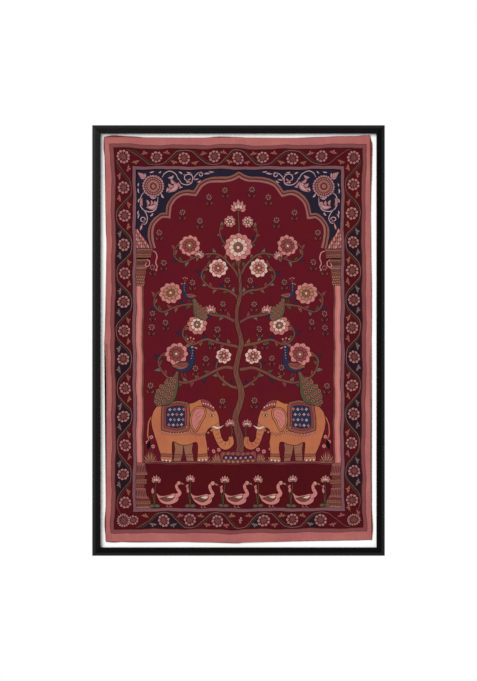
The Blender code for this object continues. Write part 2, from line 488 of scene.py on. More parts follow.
# %% Scrolls and roundels
def half_leaf(root, tip, hand):
    """A crescent leaf with three curling lobes on its hollow side, each smaller than the last."""
    root, tip = np.asarray(root, float), np.asarray(tip, float)
    reach, angle = math.dist(root, tip), heading(tip - root)
    for share, turn, size in ((0.55, 40, 0.38), (0.3, 54, 0.48), (0.05, 70, 0.56)):
        at = root + (tip - root) * share
        end = towards(at, angle + turn * hand, reach * size)
        leaf(at, end, reach * 0.24, "pale rose", 0.8, bend=0.26 * hand, fullest=0.62, stations=4)
        stroke([at + (end - at) * 0.3, at + (end - at) * 0.75], 0.8, "rose brown")
    leaf(root, tip, reach * 0.33, "pale rose", 0.8, bend=0.16 * hand, fullest=0.4)
    low, high = (root + (tip - root) * share for share in (0.08, 0.8))
    paint(blade(low, high, reach * 0.1, 0.2 * hand), "pale lavender")


def scroll(centre, radius, start, sweep, inner=0.35):
    """A stem winding in round a centre, ending in three leaves, with two more along its back."""
    share = np.linspace(0, 1, max(6, int(abs(sweep) / 16)))
    reach = radius * (1 - (1 - inner) * share**1.3)
    turned = np.radians(start + sweep * share)
    line = np.stack([centre[0] + reach * np.cos(turned), centre[1] + reach * np.sin(turned)], 1)
    hand = math.copysign(1.0, sweep)
    piped(line, 2.0, "pale lavender", 0.6, (1.0, 0.5))
    for turn, size, dye in ((70, 0.95, "pale rose"), (130, 0.8, "dusky pink"), (20, 0.7, "lavender")):
        tip = towards(line[-1], start + sweep + turn * hand, radius * size)
        leaf(line[-1], tip, radius * 0.34, dye, 0.6, bend=0.2 * hand, stations=3)
    for place in (0.25, 0.55):
        at = line[int(len(line) * place)]
        tip = towards(at, heading(at - centre) + 35 * hand, radius * 0.42)
        leaf(at, tip, radius * 0.2, "lavender", 0.5, stations=3)


def roundel(centre, radius):
    """The big flower of a corner: a scalloped rim, narrow petals, rings of dots and a ringed heart."""
    dot(centre, radius * 1.03, "ink")
    ring_of(24, centre, radius * 0.93, radius * 0.12, "pale rose", 7)
    rings(centre, radius, (0.86, "ink"), (0.82, "rose brown"))
    for i in range(26):
        ends = ray(centre, 360 * (i + 0.5) / 26, radius * 0.56, radius * 0.83)
        leaf(*ends, radius * 0.15, "dusky pink", 0.7, fullest=0.6, stations=3)
    rings(centre, radius, (0.60, "ink"), (0.565, "light ochre"), (0.46, "ink"), (0.435, "dusky pink"),
          (0.36, "ink"))
    ring_of(18, centre, radius * 0.51, radius * 0.03, "ink", 5)
    dot(centre, radius * 0.33, "rose brown")
    ring_of(10, centre, radius * 0.26, radius * 0.032, "ink", 5)
    rings(centre, radius, (0.19, "ink"), (0.16, "petal pink"), (0.09, "ink"), (0.06, "ochre"))


print("a roundel has 26 petals and 52 dots")

# %% The scrollwork of a corner
# Columns: root, tip, width of each of the smallest leaves that fill the corner's ground
GROUND_LEAVES = [
    ((-204, 283), (-197, 292), 4), ((-229, 296), (-230, 284), 3.6), ((-229, 347), (-229, 333), 4),
    ((-228, 360), (-229, 350), 3.6), ((-205, 383), (-193, 385), 3.6), ((-185, 381), (-178, 386), 3.4),
    ((-177, 335), (-170, 325), 4.4), ((-150, 352), (-146, 360), 4), ((-160, 348), (-164, 338), 4),
    ((-128, 380), (-138, 385), 4), ((-120, 386), (-108, 384), 3.4), ((-128, 350), (-138, 347), 3.6),
    ((-228, 323), (-231, 312), 3.6), ((-226, 288), (-231, 276), 3.4), ((-189, 318), (-184, 308), 3.4),
    ((-96, 360), (-86, 366), 3.6), ((-68, 386), (-54, 384), 3.2),
]


def corner_scrolls():
    """The left corner's scrollwork. The right one is its mirror image."""
    stem([(-176, 372), (-170, 382), (-158, 386), (-145, 380), (-139, 368)], 2.0)
    half_leaf((-139, 362), (-163, 338), -1)
    leaf((-149, 377), (-164, 371), 7, "lavender", 0.7, bend=-0.2)
    leaf((-139, 363), (-131, 350), 6, "dusky pink", 0.7, bend=0.2)
    stem([(-139, 372), (-132, 360), (-121, 355), (-109, 358), (-104, 367)], 2.0)
    scroll((-117, 370.5), 12.5, -30, 290)
    stem([(-105, 366), (-99, 376), (-90, 383), (-81, 382)], 1.8)
    scroll((-87, 378.5), 5.5, 80, -300)
    leaf((-80, 380), (-62, 381), 5, "lavender", 0.6, stations=4)
    leaf((-104, 366), (-90, 368), 4, "lavender", 0.5, stations=3)
    stem([(-213, 338), (-223, 330), (-227, 314), (-221, 299), (-207, 293), (-193, 298), (-186, 312),
          (-184, 327)], 2.0)
    half_leaf((-214, 303), (-184, 313), 1)
    leaf((-221, 305), (-221, 325), 7, "dusky pink", 0.7, bend=-0.2)
    leaf((-205, 330), (-186, 326), 6, "lavender", 0.7, bend=0.2)
    stem([(-219, 298), (-212, 288), (-209, 276), (-214, 266), (-222, 266)], 1.8)
    scroll((-220, 274), 7, 10, 280)
    leaf((-221, 266), (-225, 250), 5, "petal pink", 0.6, stations=4)
    for root, tip, width in GROUND_LEAVES:
        leaf(root, tip, width, "pale lavender", 0.5, bend=0.12, stations=3)
    leaf((-213, 369), (-231, 385), 12, "pale rose", fullest=0.4)
    for tip in ((-226, 371), (-214, 383)):
        leaf((-213, 369), tip, 5, "lavender", 0.6, stations=3)
    roundel((-195, 351.5), 24.0)


mirrored(corner_scrolls)
print("corners drawn,", len(painted), "areas so far")

# %% [markdown]
# ## The columns
# A column is ruled from the top down as a row of mouldings, so a table gives each one's top, bottom,
# reach from the field's edge at both, and dye. Beads, dots and drooping leaves are added on top. It
# is drawn with the field's edge at zero and then moved to its place.

# %% The column's parts
# Columns: top, bottom, reach at the top, reach at the bottom, dye
MOULDINGS = [
    (206.5, 203.8, 37.0, 37.5, "clay rose"), (203.2, 196.5, 35.5, 35.0, "tan brown"),
    (196.0, 187.0, 34.5, 32.5, "ochre"), (186.5, 183.5, 31.0, 29.5, "ink"),
    (183.5, 166.5, 28.5, 21.0, "ochre"), (165.6, 161.2, 23.5, 23.5, "clay rose"),
    (160.4, 156.0, 21.0, 23.5, "tan brown"), (155.2, 149.5, 21.5, 21.5, "ochre"),
    (148.7, 123.0, 21.5, 20.0, "tan brown"), (-284.0, -312.0, 19.0, 25.0, "dusky rose"),
    (-313.0, -321.0, 19.5, 19.5, "rose brown"), (-321.8, -332.0, 24.5, 24.5, "ochre"),
    (-333.0, -340.5, 20.0, 20.0, "rose brown"), (-341.5, -364.5, 22.0, 30.0, "dusky rose"),
    (-366.0, -370.0, 32.0, 32.5, "rose brown"), (-370.6, -377.5, 33.5, 34.0, "ochre"),
    (-378.1, -381.8, 34.5, 34.5, "tan brown"), (-382.4, -387.0, 35.5, 35.5, "clay rose"),
]
# Columns: left, right, dye of the strips down the shaft
SHAFT_STRIPS = [(0, 18.6, "ink"), (0, 17.6, "rose brown"), (1.0, 13.4, "shaft coral"),
                (4.5, 9.0, "pale coral")]
SHAFT_TOP, SHAFT_FOOT = 122.0, -283.0
GROUND_LINE = -282.0
# Columns: height, reach of the first dot, limit of the reach, pitch, radius
DOT_ROWS = [(191.6, 3, 33, 4.0, 1.3), (152.3, 2, 21, 3.4, 1.2), (-326.8, 2, 25, 4.4, 1.2),
            (-374, 3, 34, 4.4, 1.2), (-317, 2, 19, 3.6, 1.0), (158.2, 2, 23, 3.6, 0.8)]
# Columns: height, reach of the pen lines along the mouldings
PEN_LINES = [(201.4, 34), (199.8, 34), (198.2, 34), (188.8, 31), (-324, 24), (-329.6, 24), (-368, 32),
             (-380, 34)]
# Columns: top, foot, first reach, limit of the reach, spread towards the foot, dye of the flutes
FLUTES = [(-286, -310, 1.5, 20, 1.3, "rose brown"), (182, 168, 2.0, 24, 0.76, "tan brown"),
          (-343, -363, 1.5, 21, 1.38, "rose brown")]


print("a column has", len(MOULDINGS), "mouldings and", len(SHAFT_STRIPS), "strips down its shaft")

# %% Draw the columns
def column():
    """A column, from its capital down to the plinth."""
    for left, right, dye in SHAFT_STRIPS:
        paint(block(left, SHAFT_FOOT, right, SHAFT_TOP), dye)
    for top, bottom, reach_top, reach_bottom, dye in MOULDINGS:
        waist = (reach_top + reach_bottom) / 2 - abs(reach_top - reach_bottom) * 0.16
        side = smooth_line([(reach_top, top), (waist, (top + bottom) / 2), (reach_bottom, bottom)], step=6.0)
        outline = [(0, top), *side, (0, bottom)]
        paint(grown(outline, 0.8), "ink")
        paint(outline, dye)
    for up, low, high, pitch, radius in DOT_ROWS:
        for reach in np.arange(low, high, pitch):
            dot((reach, up), radius, "ink", 6)
    for up, reach in PEN_LINES:
        stroke([(1, up), (reach, up)], 0.7, "ink")
    for row in range(4):
        for reach in np.arange(2.4 + 2.0 * (row % 2), 20, 4.2):
            top = 146 - row * 6.0
            leaf((reach, top), (reach, top - 6.0), 3.8, "light ochre", 0.6, fullest=0.6, stations=3)
    for top, foot, low, high, spread, dye in FLUTES:
        for reach in np.arange(low, high, 3.1):
            leaf((reach, top), (reach * spread, foot), 1.5, dye, 0.7, fullest=0.6, stations=3)
    for volute in ([(24, 184), (30, 178), (29, 169), (23, 166), (20, 171), (24, 175)],
                   [(37, 203), (44, 199), (47, 188), (44, 176), (48, 167), (46, 162)]):
        stem(volute, 2.6, "petal pink", 0.7, 2.5)
    dot((45.6, 160.0), 2.4, "petal pink")


def flame_ornament():
    """The leafy flame that stands on the capital and leans against the arch."""
    rounded([[(1, 257)], (10, 246), (20, 233), (28, 220), [(34, 207)], [(1, 207)]], "rose brown")
    for row, (up, count) in enumerate(((208, 6), (216, 5), (225, 4), (234, 3), (243, 2))):
        for i in range(count):
            dye = ("dusky pink", "dusky rose", "petal pink")[(i + row) % 3]
            leaf((3.2 + 5.2 * i, up), (max(1.6, 0.8 + 5.0 * i - row * 0.4), up + 12.5), 5.2, dye, 0.7,
                 bend=-0.1, fullest=0.42, stations=4)


paint(block(-FIELD_HALF, FIELD_BOTTOM, FIELD_HALF, GROUND_LINE), "deep madder")
for ornament in (flame_ornament, column):
    mirrored(placed, (-FIELD_HALF, 0), 1.0, ornament)
print("columns drawn,", len(painted), "areas so far")

# %% [markdown]
# ## Leaves, blooms and small sprigs
# The field is filled as on many hand-drawn cottons: a flowering tree between two elephants, with
# peacocks in its branches, and small sprigs scattered over the open ground. These few functions draw
# all its flowers. Each layer of petals is laid over the one behind it.

# %% Blooms and sprigs
def bloom(centre, radius, petals=9, outer="petal pink", inner="shaft coral", turn=0.0):
    """A full round flower: two rings of pointed petals with veins, and a dotted heart."""
    for i in range(petals):
        angle = turn + 360 * i / petals
        leaf(*ray(centre, angle, radius * 0.3, radius), radius * 0.62, outer, 0.9, fullest=0.6)
        stroke(ray(centre, angle, radius * 0.62, radius * 0.88), 0.8, "faded rose")
    for i in range(petals - 1):
        ends = ray(centre, turn + 20 + 360 * i / (petals - 1), radius * 0.2, radius * 0.68)
        leaf(*ends, radius * 0.42, inner, 0.9, fullest=0.6, stations=4)
    rings(centre, radius, (0.36, "ink"), (0.32, "ochre"))
    ring_of(9, centre, radius * 0.235, radius * 0.03, "ink", 5)
    rings(centre, radius, (0.15, "ink"), (0.11, "cream"))


def lotus(centre, radius, angle=90.0):
    """A lotus from the side: petals fanned out behind a standing middle one, on a small cup."""
    for turn, share, width in ((-78, 0.78, 0.32), (78, 0.78, 0.32), (-54, 0.92, 0.36), (54, 0.92, 0.36),
                               (-28, 1.0, 0.38), (28, 1.0, 0.38), (0, 1.06, 0.38)):
        tip = towards(centre, angle + turn, radius * share)
        leaf(centre, tip, radius * width, "petal pink", 0.8, bend=-turn / 600, fullest=0.55)
        stroke(ray(centre, angle + turn, radius * 0.5 * share, radius * 0.85 * share), 0.7, "faded rose")
    for turn in (-40, 40, 0):
        tip = towards(centre, angle + turn, radius * 0.6)
        leaf(centre, tip, radius * 0.3, "cream", 0.8, fullest=0.55, stations=4)
    left, right = (towards(centre, angle + turn, radius * 0.26) for turn in (90, -90))
    leaf(left, right, radius * 0.3, "ochre", 0.8, stations=4)


def sprig(across, up):
    """A small dark flower with a ring of light dots, close over two short leaves."""
    for hand in (-1, 1):
        tip = (across + 7.5 * hand, up - 2.5)
        leaf((across, up - 13), tip, 5.4, "rose brown", 1.1, bend=0.2 * hand, stations=3)
    stroke([(across, up), (across, up - 14)], 1.2, "ink")
    heart = (across, up + 5)
    dot(heart, 7.4, "ink", 12)
    ring_of(7, heart, 5.1, 1.9, "clay rose", 6, 90)
    dot(heart, 2.6, "rose brown", 8)
    dot(heart, 1.2, "ink", 5)


print("a bloom has 9 outer petals, a lotus 10")

# %% A branch with leaves
LEAF_DYES = ("leaf green", "deep blue", "ochre", "faded rose", "leaf buff")
LEAF_ANGLE, LEAF_BEND = 52, 0.14


def branch(points, width, first, pitch, length, start_dye):
    """A branch with veined leaves on alternate sides, the first of them some way along it."""
    line = smooth_line(points, step=5)
    for k, place in enumerate(np.arange(first, travelled(line)[-1] - 12, pitch)):
        root = point_along(line, place)
        ahead = point_along(line, place + 3) - root
        hand = 1 if k % 2 else -1
        tip = towards(root, heading(ahead) + LEAF_ANGLE * hand, length * (1.0 - 0.1 * (k % 3)))
        dye = LEAF_DYES[(k + start_dye) % len(LEAF_DYES)]
        leaf(root, tip, length * 0.42, dye, 0.9, bend=LEAF_BEND * hand, fullest=0.42)
        bow = np.array([tip[1] - root[1], root[0] - tip[0]]) * LEAF_BEND * hand
        stroke(smooth_line([root, (root + tip) / 2 + bow, root + (tip - root) * 0.86], step=6), 0.7, "ink")
    tapered(line, width, width * 0.45, "tan brown")


print("leaf dyes", LEAF_DYES)

# %% Sprigs and grass on the open ground
# Columns: across, up. Each is drawn again on the right.
SPRIGS = [(-128, 286), (-88, 268), (-68, 322), (-30, 338), (-182, 240), (-198, 160), (-172, 172),
          (-36, 76), (-199, 22), (-168, 34), (-48, 18), (-76, -48), (-202, -112), (-36, -146),
          (-106, 126), (-60, -10), (-26, 130), (-198, 54), (-98, -70)]
# Each tuft: across, size, and how far each stalk leans and how high it stands
TUFTS = [(-203, 1.2, ((-5, 46), (3, 58), (8, 36))), (-78, 1.0, ((-6, 26), (5, 30))),
         (-50, 1.0, ((-7, 24), (6, 28)))]


def tuft(across, size, stalks):
    """A clump of grass with small flowers, on the ground line."""
    for lean, high in stalks:
        at = (across + lean, GROUND_LINE + high)
        stroke([(across, GROUND_LINE + 2), at], 1.0, "tan brown")
        ring_of(6, at, 2.9, 1.7, "petal pink", 6, 30)
        dot(at, 1.3, "ink", 6)
    for k in range(-4, 5):
        tip = (across + 3.6 * k * size, GROUND_LINE + (21 - 0.9 * k * k) * size)
        dye = "light ochre" if k % 2 else "ochre"
        leaf((across + 0.8 * k, GROUND_LINE + 1), tip, 3.2, dye, 0.5, bend=0.035 * k, stations=3)


def all_of(draw, rows):
    """Draws one thing for each row of a table."""
    for row in rows:
        draw(*row)


mirrored(all_of, sprig, SPRIGS)
mirrored(all_of, tuft, TUFTS)
print(len(SPRIGS), "sprigs and", len(TUFTS), "tufts a side")

# %% [markdown]
# ## The flowering tree
# The trunk winds up from a hill of scallops on the ground line. The branches are curls, drawn on the
# left and mirrored, each with leaves along it and a bloom at its tip.

# %% Lay out the tree
# Each branch: points, width at its root, way to its first leaf, its leaves' pitch, length, first dye
BRANCHES = [
    ([(-2, -112), (-22, -104), (-46, -84), (-52, -58), (-38, -44)], 6.0, 12, 13, 16, 1),
    ([(-3, -68), (-40, -66), (-84, -88), (-128, -98), (-168, -84), (-184, -52), (-168, -30), (-148, -36)],
     7.0, 62, 14, 20, 0),
    ([(4, -18), (-34, -10), (-72, 0), (-108, -12), (-128, 8), (-120, 32), (-100, 34)], 6.5, 20, 14, 19, 2),
    ([(-3, 40), (-30, 52), (-66, 58), (-98, 80), (-140, 76), (-176, 62), (-194, 84), (-182, 110),
      (-162, 106)], 6.0, 18, 14, 19, 3),
    ([(4, 92), (-24, 112), (-62, 120), (-84, 144), (-74, 168), (-54, 166)], 5.5, 18, 13, 18, 4),
    ([(0, 140), (-20, 172), (-50, 196), (-92, 190), (-128, 178), (-148, 196), (-138, 220), (-120, 216)],
     5.0, 26, 13, 18, 0),
    ([(-1, 168), (-12, 204), (-36, 226), (-42, 254), (-26, 266)], 4.5, 20, 12, 15, 2),
]
# Columns: place, radius, outer petals, their dye, the inner petals' dye, turn in degrees
BLOOMS = [
    ((-34, -38), 19, 8, "cream", "shaft coral", 10), ((-142, -34), 27, 10, "petal pink", "faded rose", 0),
    ((-94, 33), 24, 9, "shaft coral", "cream", 12), ((-156, 106), 26, 10, "petal pink", "light ochre", 8),
    ((-47, 164), 22, 9, "cream", "shaft coral", 0), ((-113, 216), 25, 10, "petal pink", "faded rose", 15),
    ((-21, 270), 14, 8, "shaft coral", "cream", 20),
]
# Columns: count, size, height above the ground line, dye, dye of the inner spot of each row of scallops
HILL_ROWS = [(7, 11.0, 17.0, "faded rose", "ochre"), (6, 11.0, 8.5, "deep blue", "petal pink"),
             (7, 11.0, 0.0, "tan brown", "light ochre")]

print(len(BRANCHES), "branches and", len(BLOOMS), "blooms a side")

# %% Draw the ground and the tree
for drop, width, dye in ((0, 2.0, "vine buff"), (3.4, 0.9, "faded rose")):
    stroke([(-216, GROUND_LINE - drop), (216, GROUND_LINE - drop)], width, dye, ends=(1, 1))
trunk = smooth_line([(0, GROUND_LINE + 8), (4, -235), (-7, -185), (7, -130), (-6, -72), (6, -12),
                     (-5, 48), (4, 105), (0, 165)], step=6)


def tree_side():
    """The left side's branches with their blooms."""
    all_of(branch, BRANCHES)
    all_of(bloom, BLOOMS)
    all_of(lotus, [((-64, 62), 17, 100), ((-92, 190), 15, 60)])


mirrored(tree_side)
tapered(trunk, 17, 6, "tan brown", pen=1.2)
for k in range(3, len(trunk) - 4, 2):
    lean = 3.2 if k % 4 == 1 else -3.2
    stroke([trunk[k] + (lean, -4), trunk[k] + (lean * 0.3, 1), trunk[k + 1] + (lean, 5)], 0.8, "ink")
piped([(0, 160), (0, 296)], 2.6, "tan brown", ends=(1, 1))
bloom((0, 212), 33, 12, inner="cream")
lotus((0, 296), 24)
for count, size, rise, dye, spot_dye in HILL_ROWS:
    for i in range(count):
        across, up = (i - (count - 1) / 2) * size, GROUND_LINE + rise
        arc = [towards((across, up), angle, size * 0.75) for angle in range(0, 181, 20)]
        foot = [(across + side * size * 0.75, GROUND_LINE + 0.5) for side in (-1, 1)]
        inked(np.array(arc + foot), dye, 0.9)
        dot((across, up + size * 0.2), size * 0.26, spot_dye, 8)
print("tree drawn,", len(painted), "areas so far")

# %% [markdown]
# ## Elephants, peacocks and geese
# Each animal is drawn once, facing right, from a few outlines laid over one another in its own
# scale, and placed by a shift, a scale and a hand.

# %% The elephant's outlines
ELEPHANT_BODY = [
    (50, 116), (61, 104), (68, 86), (71, 66), (74, 48), (80, 40), (86, 41), [(88, 49)], [(96, 50)],
    (98, 37), (91, 27), (80, 24), (70, 30), (62, 44), (57, 58), (54, 67), (48, 62), (45, 52),
    (47, 36), (47, 18), [(49, 2)], [(26, 2)], (28, 20), (26, 38), (10, 34), (-6, 34), (-20, 38),
    (-20, 18), [(-18, 2)], [(-42, 2)], (-43, 18), (-49, 36), (-57, 58), (-61, 80), (-55, 100),
    (-40, 112), (-18, 117), (4, 113), (18, 113), (34, 120),
]
SADDLE = [[(-37, 112.5)], (-12, 117.5), [(11, 113.5)], (13, 90), [(14, 62)], (-12, 56), [(-41, 62)],
          (-41, 90)]
# Columns: how far in from the saddle cloth's edge, dye
SADDLE_BORDERS = [(-1.2, "ink"), (0.0, "ochre"), (4.6, "ink"), (5.4, "faded rose"), (8.6, "ink"),
                  (9.4, "deep blue")]
EAR = [(38, 106), (24, 104), (15, 90), (15, 72), (24, 58), (31, 64), (36, 76), (43, 88), (44, 100)]
CAP = [[(33, 120.5)], (44, 119), (54, 113), [(63, 101)], (57, 98), (48, 103), [(37, 107)]]
# Each wrinkle of the trunk: its front and back end
WRINKLES = [((70, 78), (60, 72)), ((72, 68), (60, 60)), ((73, 58), (61, 52)), ((75, 49), (64, 44)),
            ((79, 43), (69, 35)), ((84, 42), (78, 30)), ((90, 45), (88, 33))]


print("the elephant's outline has", len(ELEPHANT_BODY), "points")

# %% Draw the elephants
def bent_lines(lines, bow, dye):
    """Short pen lines between two points each, bowed in the middle."""
    for start, end in lines:
        middle = ((start[0] + end[0]) / 2 + bow[0], (start[1] + end[1]) / 2 + bow[1])
        stroke([start, middle, end], 0.8, dye)


def elephant():
    """A caparisoned elephant about 150 by 120, with its trunk raised at the tip."""
    for foot, hip in ((14, 10), (-10, -8)):
        rounded([[(foot - 7, 2)], [(foot + 7, 2)], (hip + 8, 24), (hip + 9, 48), (hip - 9, 48),
                 (hip - 8, 24)], "rust")
    stem([(-57, 92), (-66, 76), (-67, 54), (-63, 40)], 2.2, "tan", 0.8)
    leaf((-63, 42), (-66, 24), 7, "ink")
    rounded(ELEPHANT_BODY, "tan", 1.1, 4)
    bent_lines(WRINKLES, (0.6, -1.4), "ink")
    saddle = smooth_line(SADDLE, closed=True, step=5)
    for inset, dye in SADDLE_BORDERS:
        paint(grown(saddle, -inset), dye)
    for i in range(4):
        for j in range(4):
            at = (-27 + 8.4 * i + (j % 2) * 3.4, 71 + 10 * j)
            ring_of(4, at, 1.7, 1.1, "cream" if (i + j) % 2 else "petal pink", 5)
    for k in range(11):
        at = (-40 + 5.3 * k, 60.5 - 3.2 * math.sin(math.pi * k / 10))
        leaf(at, (at[0], at[1] - 7), 3.4, "petal pink", 0.6, stations=2)
    for k in range(9):
        dot((-33 + 5.3 * k, 111.5 + 2.6 * math.sin(math.pi * k / 8)), 1.1, "ink", 5)
    ear = smooth_line(EAR, closed=True, step=5)
    inked(ear, "tan", 1.1)
    inked(grown(ear, -3.4), "shaft coral", 0.8)
    bent_lines([((37, 98), (22, 86)), ((38, 92), (22, 76)), ((36, 84), (25, 68))], (-1, 2), "faded rose")
    rounded(CAP, "faded rose", step=5)
    for k in range(5):
        dot((38 + 5 * k, 111.5 - 0.45 * k * k + 0.3 * k), 1.4, "cream", 6)
    leaf((50, 90), (60, 90), 5.4, "cream", 0.8, stations=4)
    dot((55, 90), 2.0, "ink")
    leaf((55, 70), (80, 72), 6, "cream", 0.9, bend=0.2, fullest=0.35)
    for left, right in ((27.5, 47.5), (-42, -19), (7, 19.5), (-16.5, -3.5)):
        inked(block(left, 10.4, right, 15.6), "ochre", 0.8)
    for toe in (31, 37.5, 44, -38, -31, -24):
        inked(spot((toe, 3.6), 2.4, sides=7), "cream", 0.6)
    for k in range(8):
        inked(spot(towards((34, 84), 215 + 14 * k, 31), 2.6, sides=7), "light ochre", 0.7)
    stem([(92, 48), (94, 60), (90, 70)], 1.6, "leaf green")
    lotus((90, 70), 13, 96)


for hand in (-1, 1):
    placed((hand * 128, GROUND_LINE), 1.2, elephant, -hand)
print("elephants drawn,", len(painted), "areas so far")

# %% Draw the peacocks
PEACOCK_BODY = [(-20, 24), (-8, 36), (8, 38), (18, 46), (13, 58), (14, 68), (20, 75), (26, 70), (25, 60),
                (28, 48), (26, 32), (16, 17), (0, 12), (-12, 16)]


def train(root, tip):
    """The folded train: a long leaf with ribs and rows of eyes."""
    along = tip - root
    side = np.array([along[1], -along[0]]) / np.linalg.norm(along)
    leaf(root, tip, 46, "leaf green", 1.1, fullest=0.68, bend=-0.05, stations=9)
    for k in range(9):
        end = root + along * (0.86 - 0.012 * abs(k - 4) ** 2) + side * (k - 4) * 4.0
        stroke([root + along * 0.12, end], 0.7, "ochre")
    for share, count in ((0.34, 2), (0.46, 3), (0.58, 4), (0.70, 4), (0.81, 3), (0.91, 2)):
        for k in range(count):
            eye = root + along * share + side * (k - (count - 1) / 2) * 9.6
            rings(eye, 1.0, (4.7, "ink"), (4.0, "light ochre"), (2.9, "faded rose"), (1.7, "deep blue"),
                  sides=9)


def peacock():
    """A peacock about 90 by 170, perched, with its train hanging behind it."""
    train(np.array((-4.0, 26.0)), np.array((-62.0, -66.0)))
    for x in (0, 7):
        piped([(x - 2, 16), (x, 1)], 1.6, "ochre", 0.6)
    rounded(PEACOCK_BODY, "deep blue", 1.0, 4)
    leaf((16, 32), (-26, 26), 17, "ochre", bend=-0.06, fullest=0.4)
    leaf((14, 34), (-12, 29), 9, "faded rose", 0.8, bend=-0.06, fullest=0.4)
    for k in range(4):
        stroke([(2 - 5 * k, 26 - 0.6 * k), (-8 - 5 * k, 22 + 0.4 * k)], 0.8, "ink")
    for k in range(4):
        dot((20 + 0.6 * k, 44 + 6 * k), 1.3, "lavender", 6)
    leaf((24, 70), (35, 66), 4.6, "light ochre", 0.7, stations=3)
    dot((20.5, 70), 2.2, "cream")
    dot((21, 70), 1.2, "ink")
    for lean, high in ((-7, 88), (0, 91), (7, 89)):
        stroke([(18, 75), (18 + lean, high)], 0.9, "light ochre")
        dot((18 + lean, high), 2.1, "petal pink", 7)


for hand in (-1, 1):
    placed((hand * 128, -88), 1.0, peacock, -hand)
    placed((hand * 112, 84), 0.62, peacock, hand)
print("peacocks drawn,", len(painted), "areas so far")

# %% The row of geese and lotus plants
GOOSE_BODY = [[(-30, 36)], (-17, 29), (-2, 31), (12, 34), (22, 27), (20, 14), (6, 7), (-10, 9), (-22, 18)]


def goose():
    """A goose about 60 by 62, standing, with a sprig in its beak."""
    for x in (-4, 4):
        piped([(x, 10), (x, 2), (x + 5, 1)], 1.8, "light ochre", 0.6)
    rounded(GOOSE_BODY, "petal pink", step=4)
    tapered(smooth_line([(14, 24), (25, 33), (20, 44), (18, 53), (23, 59)], step=4), 9, 6, "petal pink")
    inked(spot((24, 59), 5.2), "petal pink", 0.9)
    paint(blade((14, 27), (26, 33), 8.6), "petal pink")
    leaf((28, 59), (37, 55), 4.6, "light ochre", 0.7, stations=3)
    dot((25.4, 60.2), 2.0, "cream", 7)
    dot((25.6, 60.2), 1.2, "ink", 6)
    leaf((14, 25), (-22, 23), 14, "tan brown", bend=-0.08, fullest=0.4)
    for k in range(4):
        stroke([(6 - 6 * k, 26), (-2 - 6 * k, 20)], 0.8, "ink")
    leaf((14, 28), (-6, 26), 7, "cream", 0.8, bend=-0.08, fullest=0.4, stations=4)
    for k in range(3):
        stroke([(-16 - 2 * k, 25 + 2 * k), (-24 - 2 * k, 31 + 1.6 * k)], 0.8, "faded rose")
    stroke([(17.5, 45), (24, 47)], 2.0, "faded rose")
    stroke([(36, 55), (42, 51)], 1.0, "leaf buff")
    for turn in (-70, -20, 30):
        paint(blade((42, 51), towards((42, 51), turn, 6), 3, stations=2), "petal pink")


def lotus_plant():
    """A slim lotus about 26 by 82: a tall bloom over a bud, with round leaves at its foot."""
    for lean, high in ((-4, 34), (2, 62)):
        stem([(0, 4), (lean * 0.4, high * 0.5), (lean, high)], 1.3, "leaf green", step=8)
    for x in (-6, 6):
        inked(spot((x, 5), 7, 0.6, 12), "leaf green", 0.9)
        for angle in (20, 90, 160):
            stroke([(x, 3), towards((x, 5), angle, 3.5)], 0.7, "leaf buff")
    leaf((-4, 33), (-5, 49), 7, "shaft coral", 0.8, fullest=0.42, stations=4)
    lotus((2, 62), 15, 88)


ROW_FOOT = -386.5
for place in (-160, -82, -4, 74, 152):
    placed((place, ROW_FOOT), 0.96, goose)
for place in (-192, -112, -34, 44, 122, 198):
    placed((place, ROW_FOOT), 0.98, lotus_plant)
print("drawing done,", len(painted), "areas")

# %% [markdown]
# ## From outlines to a mesh
# A hand doesn't draw straight, so the drawing is first shifted by a few slow sine waves, which die
# away at the cloth's edges. Then the cloth is cut into triangles twice. The first cut follows every
# outline, and each triangle takes the dye of the last outline that winds round its middle. Most of
# those edges lie inside one dye, so the second cut keeps only the edges where two dyes meet, and
# adds the crease lines and an even net of points that let the sheet bend.

# %% Shift the drawing by hand
# Columns: height and length of the wave in millimetres, its start in radians
HAND = [(0.9, 96.0, 0.4), (0.5, 41.0, 1.9), (0.2, 15.0, 3.1)]
CALM_EDGE = 16.0
LONGEST_EDGE = 9.0


def eased(share):
    """A share from 0 to 1 that starts and ends gently."""
    share = np.clip(share, 0, 1)
    return share * share * (3 - 2 * share)


def with_more_points(outline):
    """A closed outline with its long edges divided, so that they can bend."""
    made = []
    for start, end in zip(outline, np.roll(outline, -1, 0)):
        count = max(1, math.ceil(np.linalg.norm(end - start) / LONGEST_EDGE))
        made.append(start + (end - start) * (np.arange(count) / count)[:, None])
    return np.concatenate(made)


def by_hand(points):
    """Points of the drawing, shifted as a hand draws them."""
    across, up = points[:, 0], points[:, 1]
    calm = eased(np.minimum(half_width - abs(across), half_height - abs(up)) / CALM_EDGE)
    shift = np.zeros_like(points)
    for height, length, start in HAND:
        turn = 2 * math.pi / length
        shift[:, 0] += height * np.sin(turn * (0.8 * up + 0.6 * across) + start)
        shift[:, 1] += height * np.sin(turn * (0.8 * across - 0.6 * up) + 2.3 * start)
    return points + shift * calm[:, None]


drawn = [(by_hand(with_more_points(outline)), dye) for outline, dye in painted]
print("points to draw with:", sum(len(outline) for outline, dye in drawn))

# %% Cut the cloth along every outline
NET = 8.0
TOLERANCE = 0.04
# Where the cloth was folded away. Columns: the way each crease runs, its distance from the cloth's
# middle, its height above the board (below zero for a trough), its half width, all in millimetres
CREASES = [("upright", -1.5, 0.9, 10), ("level", 1.0, -0.8, 11), ("upright", -152, 0.35, 12),
           ("upright", 150, -0.3, 12), ("level", 235, 0.3, 12)]


